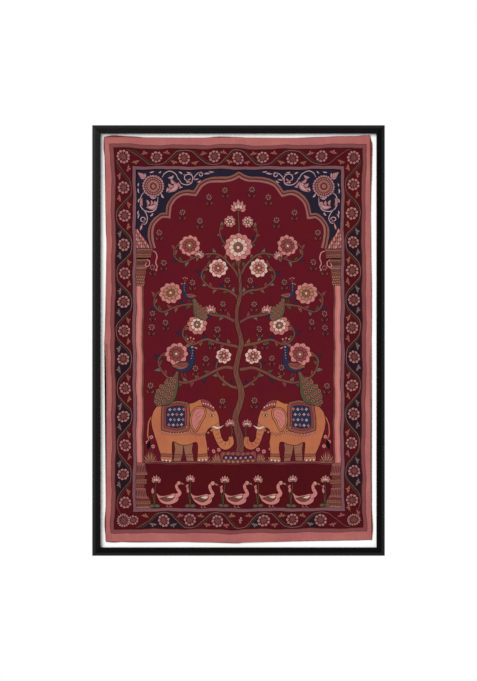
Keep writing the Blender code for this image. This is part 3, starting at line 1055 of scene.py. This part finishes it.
def outline_edges(outlines):
    """The points of closed outlines in one list, and their edges as pairs of point numbers."""
    edges, first = [], 0
    for outline in outlines:
        numbers = np.arange(len(outline)) + first
        edges.append(np.stack([numbers, np.roll(numbers, -1)], 1))
        first += len(outline)
    return np.concatenate(outlines), np.concatenate(edges)


def crease_lines(pitch):
    """The crease lines as thin outlines, out and back along the same points."""
    lines = []
    for way, place, rise, width in CREASES:
        reach = half_height if way == "upright" else half_width
        along = np.linspace(-reach, reach, round(2 * reach / pitch))
        points = np.stack([np.full_like(along, place), along], 1)
        points = points if way == "upright" else points[:, ::-1]
        lines.append(np.concatenate([points, points[-2:0:-1]]))
    return lines


def net(pitch):
    """Points of an even net of triangles inside the cloth's edge."""
    made = []
    for row, up in enumerate(np.arange(-half_height + pitch, half_height - pitch / 2, pitch * 0.866)):
        across = np.arange(-half_width + pitch * (1 + row % 2 / 2), half_width - pitch / 2, pitch)
        made.append(np.stack([across, np.full_like(across, up)], 1))
    return np.concatenate(made)


def triangles_along(points, edges):
    """Cuts the flat cloth into triangles that no edge crosses. Returns their points and the triangles."""
    made = geometry.delaunay_2d_cdt([Vector(p) for p in points], edges.tolist(), [], 0, TOLERANCE, False)
    return np.array([tuple(v) for v in made[0]]), np.array(made[2])


edge_of_cloth = with_more_points(np.array(block(-half_width, -half_height, half_width, half_height)))
flat, triangles = triangles_along(*outline_edges([edge_of_cloth] + [outline for outline, dye in drawn[1:]]))
print(len(flat), "points,", len(triangles), "triangles")

# %% Find the dye at a point
def winds_round(outline, points):
    """Which of the points a closed outline winds round."""
    a, b = outline, np.roll(outline, -1, 0)
    turns = np.zeros(len(points), int)
    for few in np.array_split(np.arange(len(points)), 1 + len(points) * len(a) // 2_000_000):
        x, y = points[few, :1], points[few, 1:]
        side = (b[:, 0] - a[:, 0]) * (y - a[:, 1]) - (x - a[:, 0]) * (b[:, 1] - a[:, 1])
        rising, falling = (a[:, 1] <= y) & (b[:, 1] > y), (a[:, 1] > y) & (b[:, 1] <= y)
        turns[few] = np.sum(rising & (side > 0), 1) - np.sum(falling & (side < 0), 1)
    return turns != 0


def dyes_at(points):
    """The number of the dye that shows at each point: that of the last outline round it."""
    by_height = np.argsort(points[:, 1])
    heights = points[by_height, 1]
    dyes = np.full(len(points), -1)
    for outline, dye in reversed(drawn):
        low, high = outline.min(0), outline.max(0)
        near = by_height[np.searchsorted(heights, low[1]):np.searchsorted(heights, high[1])]
        near = near[(dyes[near] < 0) & (points[near, 0] > low[0]) & (points[near, 0] < high[0])]
        if len(near):
            dyes[near[winds_round(outline, points[near])]] = DYE_NAMES.index(dye)
    dyes[dyes < 0] = DYE_NAMES.index("coral")
    return dyes


DYE_NAMES = sorted({dye for outline, dye in painted})
dyes = dyes_at(flat[triangles].mean(axis=1))
print(len(DYE_NAMES), "dyes")

# %% Cut again where dyes meet
NEARLY_STRAIGHT = 0.05


def edges_of(triangles):
    """The three edges of each triangle, as pairs of corners."""
    return triangles[:, [0, 1, 1, 2, 2, 0]].reshape(-1, 2)


def where_dyes_meet(triangles, dyes):
    """The edges between triangles of two dyes, and the cloth's own edges."""
    edges = np.sort(edges_of(triangles), 1)
    order = np.lexsort((edges[:, 1], edges[:, 0]))
    edges, dyes = edges[order], np.repeat(dyes, 3)[order]
    paired = (edges[1:] == edges[:-1]).all(1)
    inside = paired & (dyes[1:] == dyes[:-1])
    return edges[~(np.append(inside, False) | np.append(False, paired))]


def without_needless(points, edges):
    """The edges, less the inner points that lie almost on the line between their only two neighbours."""
    on_rim = (abs(points) > np.array([half_width, half_height]) - TOLERANCE).any(1)
    joined = {}
    for a, b in edges.tolist():
        joined.setdefault(a, set()).add(b)
        joined.setdefault(b, set()).add(a)
    for here in list(joined):
        if on_rim[here] or len(joined[here]) != 2:
            continue
        a, b = joined[here]
        along, off = points[b] - points[a], points[here] - points[a]
        twice_area = abs(along[0] * off[1] - along[1] * off[0])
        if b not in joined[a] and twice_area < NEARLY_STRAIGHT * np.hypot(*along):
            for one, other in ((a, b), (b, a)):
                joined[one].remove(here)
                joined[one].add(other)
            del joined[here]
    return np.array([(a, b) for a in joined for b in joined[a] if a < b])


seams = where_dyes_meet(triangles, dyes)
kept = without_needless(flat, seams)
print(len(np.unique(seams)), "points show,", len(np.unique(kept)), "of them are needed")
numbers, kept = np.unique(kept, return_inverse=True)
crease_points, crease_edges = outline_edges(crease_lines(NET))
flat, triangles = triangles_along(np.concatenate([flat[numbers], crease_points, net(NET)]),
                                  np.concatenate([kept.reshape(-1, 2), crease_edges + len(numbers)]))
dye_of = dyes_at(flat[triangles].mean(axis=1))
print(len(flat), "points,", len(triangles), "triangles")

# %% [markdown]
# ## Hanging the sheet
# The flat sheet is given the cloth's uneven outline and its relief: the fold creases, the slow waves
# and the small puckers that hand-woven cotton keeps. The outline and the main folds are the same as
# the CAD cloth's. The back is a coarser sheet that shares the front's edge points, and a narrow strip
# joins the two, so the sheet is closed.

# %% The cloth's uneven outline
EDGE_REACH = 55.0
# How far each edge stands out. Columns: distance along the edge, distance outwards, in millimetres.
# The left and right edges start at the top, the top and bottom edges at the left.
LEFT_EDGE = [(0, 4.0), (21, 4.9), (49, 2.4), (76, 0.0), (214, -0.3), (241, -1.7), (351, -0.3), (434, 1.5),
             (475, 3.1), (516, 0.0), (571, -1.0), (667, -1.7), (846, 0.0), (887, 2.6), (929, 0.0)]
RIGHT_EDGE = [(0, -3.0), (21, 2.2), (76, 1.0), (131, -0.8), (186, -1.7), (268, -0.6), (351, 0.8), (571, 0.8),
              (626, -1.3), (737, -1.8), (791, 0.6), (846, 0.8), (901, 3.1), (929, 1.0)]
TOP_EDGE = [(0, 0.6), (18, 3.9), (59, 1.6), (100, -1.1), (224, -1.4), (265, 1.1), (306, -0.2), (347, -3.2),
            (430, -1.6), (492, 0.2), (533, 1.8), (574, 2.1), (595, 3.7), (610, 4.0)]
BOTTOM_EDGE = [(0, 0.0), (18, 1.7), (39, 0.2), (59, 1.1), (182, 0.4), (224, 1.5), (298, 3.4), (327, 0.9),
               (389, 0.2), (430, -1.0), (492, -2.3), (574, -3.4), (595, -5.0), (610, -4.0)]


def stands_out(table, along):
    """How far an edge stands out at distances along it, eased between the rows of its table."""
    rows = np.array(table, float)
    after = np.clip(np.searchsorted(rows[:, 0], along), 1, len(rows) - 1)
    low, high = rows[after - 1], rows[after]
    share = eased((along - low[:, 0]) / (high[:, 0] - low[:, 0]))
    return low[:, 1] + (high[:, 1] - low[:, 1]) * share


def uneven(points):
    """Where points of the flat sheet lie on the uneven cloth."""
    across, up = points[:, 0], points[:, 1]
    from_left, from_top = across + half_width, half_height - up
    left, right, top, bottom = (
        stands_out(table, along) * np.exp(-distance / EDGE_REACH) for table, along, distance in (
            (LEFT_EDGE, from_top, from_left), (RIGHT_EDGE, from_top, CLOTH_WIDTH - from_left),
            (TOP_EDGE, from_left, from_top), (BOTTOM_EDGE, from_left, CLOTH_HEIGHT - from_top)))
    return np.stack([across - left + right, up + top - bottom], 1)


print("the cloth's bottom left corner lies at", uneven(flat[:1])[0].round(1))

# %% The cloth's relief
MEAN_HEIGHT = 1.6
# Slow waves, then small puckers. Columns: height in millimetres, waves across the width, waves down
# the height, phase in turns
WAVES = [(0.32, 1.4, 0.6, 0.10), (0.22, 0.5, 2.3, 0.40), (0.14, 2.6, 1.7, 0.75),
         (0.060, 11, 4, 0.2), (0.050, -7, 13, 0.6), (0.030, 19, 9, 0.1), (0.025, -16, 23, 0.8)]


def relief(points, crispness=1.0):
    """Height of the cloth above its lowest points, and its slopes across and up in two columns."""
    height, slopes = np.full(len(points), MEAN_HEIGHT), np.zeros((len(points), 2))
    for way, place, rise, width in CREASES:
        axis = 0 if way == "upright" else 1
        away = points[:, axis] - place
        rounded_away = np.sqrt(away**2 + crispness**2)
        height += rise * np.exp(-(rounded_away - crispness) / width)
        slopes[:, axis] -= rise / width * np.exp(-(rounded_away - crispness) / width) * away / rounded_away
    for rise, waves_across, waves_down, phase in WAVES:
        turn = 2 * math.pi * np.array([waves_across / CLOTH_WIDTH, waves_down / CLOTH_HEIGHT])
        angle = points @ turn + 2 * math.pi * phase
        height += rise * np.sin(angle)
        slopes += rise * turn * np.cos(angle)[:, None]
    return height, slopes


height, slopes = relief(flat)
print("relief from", round(float(height.min()), 2), "to", round(float(height.max()), 2), "mm")

# %% Make the sheet's mesh
SHEET_THICKNESS = 0.45
BACK_NET = 14.0
BOARD_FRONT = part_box("backing_board")[0][1] / MM
GAP_BEHIND = 0.3
HALF_SOLID = 0.5
FRAME_MIDDLE = (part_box("rail_top")[1][2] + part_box("rail_bottom")[0][2]) / 2 / MM
CLOTH_RAISED = 2.6


def facing_front(points, triangles):
    """The triangles, all turned the same way round."""
    a, b, c = (points[triangles[:, k]] for k in range(3))
    area = (b[:, 0] - a[:, 0]) * (c[:, 1] - a[:, 1]) - (b[:, 1] - a[:, 1]) * (c[:, 0] - a[:, 0])
    return np.where((area < 0)[:, None], triangles[:, ::-1], triangles)


def edge_loop(triangles):
    """The numbers of the points round the cut edge, in order anticlockwise from the front."""
    edges = dict.fromkeys((a, b) for a, b in edges_of(triangles).tolist())
    follows = {a: b for a, b in edges if (b, a) not in edges}
    loop = [next(iter(follows))]
    while follows[loop[-1]] != loop[0]:
        loop.append(follows[loop[-1]])
    return loop


def hung(points, behind):
    """Places in space, in metres, of points of the flat sheet, some way behind its face."""
    on_cloth = uneven(points)
    depth = BOARD_FRONT - GAP_BEHIND - HALF_SOLID - relief(points)[0] - SHEET_THICKNESS / 2 + behind
    return np.stack([on_cloth[:, 0], depth, FRAME_MIDDLE + CLOTH_RAISED + on_cloth[:, 1]], 1) * MM


triangles = facing_front(flat, triangles)
loop = edge_loop(triangles)
back_points, back_edges = outline_edges([flat[loop]] + crease_lines(BACK_NET))
back_flat, back_triangles = triangles_along(np.concatenate([back_points, net(BACK_NET)]), back_edges)
back_triangles = facing_front(back_flat, back_triangles)
back_loop = edge_loop(back_triangles)
print("edge points", len(loop), "and on the back", len(back_loop))

# %% Join front, back and edge
nearest = {tuple(np.round(back_flat[i], 3)): i + len(flat) for i in back_loop}
behind_loop = [nearest[tuple(np.round(flat[i], 3))] for i in loop]
faces = triangles.tolist() + (back_triangles[:, ::-1] + len(flat)).tolist()
for here, there, behind_here, behind_there in zip(loop, loop[1:] + loop[:1], behind_loop,
                                                  behind_loop[1:] + behind_loop[:1]):
    faces.append([there, here, behind_here, behind_there])

mesh = bpy.data.meshes.new("painted_cloth")
mesh.from_pydata(np.concatenate([hung(flat, 0.0), hung(back_flat, SHEET_THICKNESS)]).tolist(), [], faces)
mesh.polygons.foreach_set("use_smooth", [True] * len(faces))
painted_cloth = bpy.data.objects.new("painted_cloth", mesh)
bpy.context.scene.collection.objects.link(painted_cloth)
print(len(mesh.polygons), "faces on the cloth")

# %% [markdown]
# ## Smooth shading and a flat map
# The triangles along a pen line are long and thin, which would show in the shading. So each corner
# is given the normal of the relief itself, worked out from its slopes, and the strip round the edge
# faces outwards. The map lays the front out at one scale, with the back and the edge beside it.

# %% Normals and the map
BACK_SCALE, BACK_PLACE = 0.5, (0.67, 0.0)
RIM_COLUMNS = 45


def facing(points):
    """The front's unit normals at points of the flat sheet."""
    slopes = relief(points)[1]
    normal = np.stack([-slopes[:, 0], -np.ones(len(points)), -slopes[:, 1]], 1)
    return normal / np.linalg.norm(normal, axis=1, keepdims=True)


def of_corners(front, back, rim):
    """Values for the mesh's corners, from those of the points in front and behind and the rim's own."""
    return np.concatenate([front[triangles].reshape(-1, front.shape[1]),
                           back[back_triangles[:, ::-1]].reshape(-1, front.shape[1]), rim])


rim_out = sideways(np.roll(flat[loop], -1, 0) - flat[loop])
rim_normals = np.repeat(np.stack([rim_out[:, 0], np.zeros(len(loop)), rim_out[:, 1]], 1), 4, axis=0)
mesh.normals_split_custom_set(of_corners(facing(flat), -facing(back_flat), rim_normals).tolist())

tile_row, tile_column = np.divmod(np.arange(len(loop)), RIM_COLUMNS)
tile_corner = np.stack([0.68 + 0.31 * tile_column / RIM_COLUMNS, 0.52 + 0.05 * tile_row], 1)
tile_shape = np.array([(0.006, 0.0), (0.0, 0.0), (0.0, 0.03), (0.006, 0.03)])
map_front, map_back = ((points + (half_width, half_height)) / CLOTH_HEIGHT for points in (flat, back_flat))
corner_map = of_corners(map_front, map_back * BACK_SCALE + BACK_PLACE,
                        (tile_corner[:, None, :] + tile_shape).reshape(-1, 2))
mesh.uv_layers.new(name="OFBake").data.foreach_set("uv", corner_map.ravel())
print("map from", corner_map.min(0).round(3), "to", corner_map.max(0).round(3))

# %% [markdown]
# ## Dyes, weave and surfaces
# Hand-laid dye pools and thins, so every dye is lightened and darkened by soft noise and a little streaked
# along the threads. Every dye is also painted slightly darker towards the foot of the panel, a painted shade
# as if the light fell off downwards. The weave is two sets of threads, raised by turns. Both effects are node
# groups that all the dyes share.

# %% Node helpers
def feed(tree, socket, value):
    """Gives a socket a plain value, or joins it to another node's output."""
    if isinstance(value, bpy.types.NodeSocket):
        tree.links.new(value, socket)
    else:
        socket.default_value = value


def node(tree, kind, **inputs):
    """Adds a node in a row with the others. A space in an input's name is written _ here."""
    made = tree.nodes.new(kind)
    made.location = (200 * len(tree.nodes), 0)
    for name, value in inputs.items():
        feed(tree, made.inputs[name.replace("_", " ")], value)
    return made


def maths(tree, operation, *values):
    """The output of a Math node whose inputs are values or other nodes' outputs."""
    made = node(tree, "ShaderNodeMath")
    made.operation = operation
    for socket, value in zip(made.inputs, values):
        feed(tree, socket, value)
    return made.outputs[0]


def ramp(tree, value, low, high, to_low, to_high):
    """A value mapped from one range to another, and held inside it."""
    return node(tree, "ShaderNodeMapRange", Value=value, From_Min=low, From_Max=high,
                To_Min=to_low, To_Max=to_high).outputs["Result"]


def place_on(tree):
    """The place on the object, which every pattern reads."""
    return node(tree, "ShaderNodeTexCoord").outputs["Object"]


def noise(tree, place, stretch, scale):
    """Soft noise, finer along the axes that are stretched more, for pools of dye and for threads."""
    mapped = node(tree, "ShaderNodeMapping", Vector=place, Scale=stretch).outputs[0]
    made = node(tree, "ShaderNodeTexNoise", Vector=mapped, Scale=scale, Detail=2.0, Roughness=0.55)
    return made.outputs["Fac"]


def group_tree(name, takes, gives):
    """An empty node group with its sockets' kinds by name. Returns it, its inputs and its end node."""
    tree = bpy.data.node_groups.new(name, "ShaderNodeTree")
    for way, sockets in (("INPUT", takes), ("OUTPUT", gives)):
        for socket, kind in sockets.items():
            tree.interface.new_socket(socket, in_out=way, socket_type="NodeSocket" + kind)
    return tree, node(tree, "NodeGroupInput").outputs, node(tree, "NodeGroupOutput")


print("node helpers for noise, ramps and sums are ready")

# %% The shared effects
EVEN = (1, 1, 1)
# Columns: stretch, scale and weight of the blots and of the streaks along the warp and the weft
FINER_NOISES = [(EVEN, 75.0, 0.7), ((260, 1, 14), 1.0, 0.45), ((14, 1, 260), 1.0, 0.45)]
POOL_SCALE = 14.0
WARMTH = 0.022
# The panel's foot and top in metres, and how bright the dyes are painted there: a painted shade that darkens
# the foot
FOOT, TOP, FOOT_BRIGHTNESS, TOP_BRIGHTNESS = -0.95, -0.03, 0.955, 1.03


def dye_with_painted_shade():
    """Takes a dye's colour and unevenness and gives the colour on the cloth, painted a little darker towards
    the panel's foot as painted shade.
    """
    tree, given, made = group_tree("hand-laid dye and painted shade", {"Dye": "Color", "Unevenness": "Float"},
                                   {"Color": "Color"})
    place = place_on(tree)
    pools = total = maths(tree, "SUBTRACT", noise(tree, place, EVEN, POOL_SCALE), 0.5)
    for stretch, scale, weight in FINER_NOISES:
        shade = maths(tree, "SUBTRACT", noise(tree, place, stretch, scale), 0.5)
        total = maths(tree, "ADD", total, maths(tree, "MULTIPLY", shade, weight))
    # Painted shade: the colour is darkened towards the panel's foot by its height
    height = node(tree, "ShaderNodeSeparateXYZ", Vector=place).outputs["Z"]
    brightness = maths(tree, "ADD", maths(tree, "MULTIPLY", total, given["Unevenness"]),
                       ramp(tree, height, FOOT, TOP, FOOT_BRIGHTNESS, TOP_BRIGHTNESS))
    hue = maths(tree, "ADD", maths(tree, "MULTIPLY", pools, WARMTH), 0.5)
    laid = node(tree, "ShaderNodeHueSaturation", Hue=hue, Value=brightness, Color=given["Dye"])
    feed(tree, made.inputs["Color"], laid.outputs[0])
    return tree


def cotton_weave():
    """Gives the height of a plain weave with slightly uneven threads."""
    tree, given, made = group_tree("cotton weave", {"Threads": "Float"}, {"Height": "Float"})
    place = place_on(tree)
    along = node(tree, "ShaderNodeSeparateXYZ", Vector=place).outputs
    waves = [maths(tree, "SINE", maths(tree, "MULTIPLY", along[axis], given["Threads"]))
             for axis in ("X", "Z")]
    slubs = noise(tree, place, (420, 1, 22), 1.0)
    feed(tree, made.inputs["Height"], maths(tree, "ADD", maths(tree, "MULTIPLY", *waves), slubs))
    return tree


dye_shade_group, weave_group = dye_with_painted_shade(), cotton_weave()
print("node groups", [dye_shade_group.name, weave_group.name])

# %% The dyes
# Columns: red, green and blue as on a screen, unevenness
DYES = {
    "brown line": (110, 56, 52, 0.20), "coral": (176, 102, 100, 0.30), "mauve": (126, 72, 74, 0.26),
    "dusty mauve": (122, 80, 86, 0.26), "clay": (114, 68, 60, 0.28), "clay rose": (146, 92, 88, 0.22),
    "maroon": (64, 17, 20, 0.35), "madder": (94, 22, 32, 0.22), "deep madder": (78, 17, 23, 0.30),
    "ink": (24, 14, 16, 0.30), "petal pink": (194, 122, 118, 0.28), "dusky pink": (174, 110, 110, 0.28),
    "pale rose": (169, 114, 116, 0.26), "dusky rose": (146, 84, 80, 0.30), "rose brown": (110, 60, 56, 0.32),
    "ochre": (136, 82, 68, 0.34), "light ochre": (168, 110, 88, 0.30), "rust": (144, 92, 74, 0.30),
    "indigo": (35, 33, 47, 0.45), "night": (41, 23, 31, 0.40), "vine buff": (130, 88, 84, 0.28),
    "vine shade": (96, 60, 58, 0.30), "leaf buff": (116, 98, 94, 0.32), "tan": (181, 107, 74, 0.26),
    "cream": (214, 178, 164, 0.22), "lavender": (166, 128, 140, 0.28),
    "pale lavender": (184, 146, 154, 0.24), "shaft coral": (188, 112, 107, 0.18),
    "pale coral": (200, 126, 120, 0.18), "faded rose": (136, 62, 64, 0.30),
    "deep blue": (40, 47, 72, 0.35), "tan brown": (112, 68, 58, 0.34), "leaf green": (86, 78, 56, 0.34),
    "olive": (54, 38, 30, 0.35), "reverse": (150, 90, 86, 0.20),
}
FULL_WHITE = 0.83
COTTON_ROUGHNESS, COTTON_SHINE = 0.92, 0.03
THREADS_PER_METRE = 2 * math.pi / 0.0011


print(len(DYES), "dyes in the table")

# %% A material for each dye
def light_value(channel):
    """A screen colour's value from 0 to 255 as an amount of light."""
    share = channel / 255
    return share / 12.92 if share <= 0.04045 else ((share + 0.055) / 1.055) ** 2.4


def plain_material(name, colour, roughness, specular):
    """A plain material. Returns it with its node tree and its Principled shader."""
    material = bpy.data.materials.new(name)
    material.use_nodes = True
    material.diffuse_color = (*colour, 1.0)
    shader = material.node_tree.nodes["Principled BSDF"]
    shader.inputs["Base Color"].default_value = (*colour, 1.0)
    shader.inputs["Roughness"].default_value = roughness
    shader.inputs["Specular IOR Level"].default_value = specular
    return material, material.node_tree, shader


def roughen(tree, shader, height, strength, distance):
    """Joins a height to a shader through a Bump node."""
    bump = node(tree, "ShaderNodeBump", Strength=strength, Distance=distance, Height=height)
    feed(tree, shader.inputs["Normal"], bump.outputs["Normal"])


def dyed_cotton(name):
    """The material of one dye."""
    *screen, unevenness = DYES[name]
    colour = [light_value(channel) * FULL_WHITE for channel in screen]
    material, tree, shader = plain_material("cotton " + name, colour, COTTON_ROUGHNESS, COTTON_SHINE)
    laid, weave = node(tree, "ShaderNodeGroup"), node(tree, "ShaderNodeGroup")
    laid.node_tree, weave.node_tree = dye_shade_group, weave_group
    laid.inputs["Dye"].default_value = (*colour, 1.0)
    laid.inputs["Unevenness"].default_value = unevenness
    weave.inputs["Threads"].default_value = THREADS_PER_METRE
    feed(tree, shader.inputs["Base Color"], laid.outputs["Color"])
    roughen(tree, shader, weave.outputs["Height"], 0.35, 0.00025)
    return material


print("the palest dye reflects", round(light_value(214) * FULL_WHITE, 2), "of red light")

# %% Dress the cloth
for name in DYE_NAMES + ["reverse"]:
    mesh.materials.append(dyed_cotton(name))
behind_dyes = [len(DYE_NAMES)] * len(back_triangles) + [DYE_NAMES.index("coral")] * len(loop)
mesh.polygons.foreach_set("material_index", dye_of.tolist() + behind_dyes)
mesh.update()
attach(painted_cloth, "root")
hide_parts("kalamkari_cloth")
print(len(mesh.materials), "dyes on the cloth")

# %% [markdown]
# ## The frame and the board
# The moulding is black lacquer over wood, with a faint grain and a roughness that wanders a little. Along its
# outer edge the black is painted greyer, a painted highlight where the outer bevel would catch the light. The
# board is matt white paint. Both keep the CAD frame's shapes.

# %% Lacquer and board
# The second value is the grey of the painted highlight along each rail's outer edge
BLACK, EDGE_HIGHLIGHT = 0.001, 0.012
# How far in from the rail's outer side the black starts, and how far in the painted highlight's grey reaches,
# in metres
INNER_BLACK, OUTER_HIGHLIGHT = 0.0085, 0.0055
rail_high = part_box("rail_top")[1]
middle_height = FRAME_MIDDLE * MM


def black_lacquer(name, grain, axis, outer_side, middle=0.0):
    """Black lacquer whose grain runs one way, with a grey painted highlight along the rail's outer edge."""
    material, tree, shader = plain_material(name, (BLACK, BLACK, BLACK), 0.36, 0.07)
    place = place_on(tree)
    along = node(tree, "ShaderNodeSeparateXYZ", Vector=place).outputs[axis]
    outwards = maths(tree, "ABSOLUTE", maths(tree, "SUBTRACT", along, middle))
    # Painted highlight: the base colour turns from black to grey towards the rail's outer edge
    edge_highlight = ramp(tree, outwards, outer_side - INNER_BLACK, outer_side - OUTER_HIGHLIGHT, BLACK, EDGE_HIGHLIGHT)
    feed(tree, shader.inputs["Base Color"], edge_highlight)
    feed(tree, shader.inputs["Roughness"], ramp(tree, noise(tree, place, EVEN, 30.0), 0.0, 1.0, 0.28, 0.46))
    roughen(tree, shader, noise(tree, place, grain, 1.0), 0.3, 0.00015)
    return material


level = black_lacquer("black lacquer level", (12, 500, 500), "Z", rail_high[2] - middle_height, middle_height)
upright = black_lacquer("black lacquer upright", (500, 500, 12), "X", rail_high[0])
board_paint, tree, shader = plain_material("white board paint", (0.955, 0.95, 0.94), 0.85, 0.2)
roughen(tree, shader, noise(tree, place_on(tree), EVEN, 900.0), 0.15, 0.0001)
for name, finish in (("rail_top", level), ("rail_bottom", level), ("rail_left", upright),
                     ("rail_right", upright), ("backing_board", board_paint)):
    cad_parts[name].material_slots[0].material = finish
print("frame and board dressed")

# %% [markdown]
# ## Camera, light and surroundings
# The photograph looks straight at the panel from a few metres away, on a white page. Soft light
# comes from the upper left, so the moulding throws a narrow soft shadow on the board along its left
# and top sides. The page stays white to the camera and lights the panel gently from all round.

# %% Camera and light
LENS, SENSOR = 85.0, 36.0
PICTURE_HEIGHT = 1.560
KEY_WAY = Vector((-0.61, -1.0, 0.49))
KEY_STRENGTH, KEY_SOFTNESS, KEY_COLOUR = 2.68, math.radians(38), (1.0, 0.985, 0.96)
scene = bpy.context.scene
scene.view_settings.view_transform = "Standard"

camera_data = bpy.data.cameras.new("camera")
camera_data.lens, camera_data.sensor_height, camera_data.sensor_width = LENS, SENSOR, SENSOR
camera_data.sensor_fit = "VERTICAL"
camera = bpy.data.objects.new("camera", camera_data)
camera.location = (0.0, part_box("rail_left")[0][1] - PICTURE_HEIGHT * LENS / SENSOR, middle_height)
camera.rotation_euler = (math.pi / 2, 0.0, 0.0)

key_data = bpy.data.lights.new("window light", "SUN")
key_data.energy, key_data.angle, key_data.color = KEY_STRENGTH, KEY_SOFTNESS, KEY_COLOUR
key = bpy.data.objects.new("window light", key_data)
key.rotation_euler = KEY_WAY.to_track_quat("Z", "Y").to_euler()
for thing in (camera, key):
    scene.collection.objects.link(thing)
scene.camera = camera
print("camera at", tuple(round(v, 3) for v in camera.location))

# %% Surroundings
FLOOR_HEIGHT, FLOOR_WIDTH, FLOOR_DEPTH, FLOOR_FORWARD = -1.45, 3.0, 2.6, 0.5
FILL_COLOUR, FILL_STRENGTH = (0.96, 0.98, 1.0, 1.0), 0.52
page = bpy.data.worlds.new("white page")
page.use_nodes = True
scene.world = page
tree = page.node_tree
seen = tree.nodes["Background"]
seen.inputs["Color"].default_value = (1.0, 1.0, 1.0, 1.0)
seen.inputs["Strength"].default_value = 1.0
lit = node(tree, "ShaderNodeBackground", Color=FILL_COLOUR, Strength=FILL_STRENGTH)
mixed = node(tree, "ShaderNodeMixShader", Fac=node(tree, "ShaderNodeLightPath").outputs["Is Camera Ray"])
feed(tree, mixed.inputs[1], lit.outputs[0])
feed(tree, mixed.inputs[2], seen.outputs[0])
feed(tree, tree.nodes["World Output"].inputs[0], mixed.outputs[0])

bpy.ops.object.select_all(action="DESELECT")
bpy.ops.mesh.primitive_plane_add(size=1.0)
floor = bpy.context.object
floor.name = "floor"
for corner in floor.data.vertices:
    corner.co = (corner.co.x * FLOOR_WIDTH, corner.co.y * FLOOR_DEPTH - FLOOR_FORWARD, FLOOR_HEIGHT)
floor.data.materials.append(plain_material("pale floor", (0.80, 0.79, 0.77), 0.8, 0.2)[0])
print("floor at", FLOOR_HEIGHT)
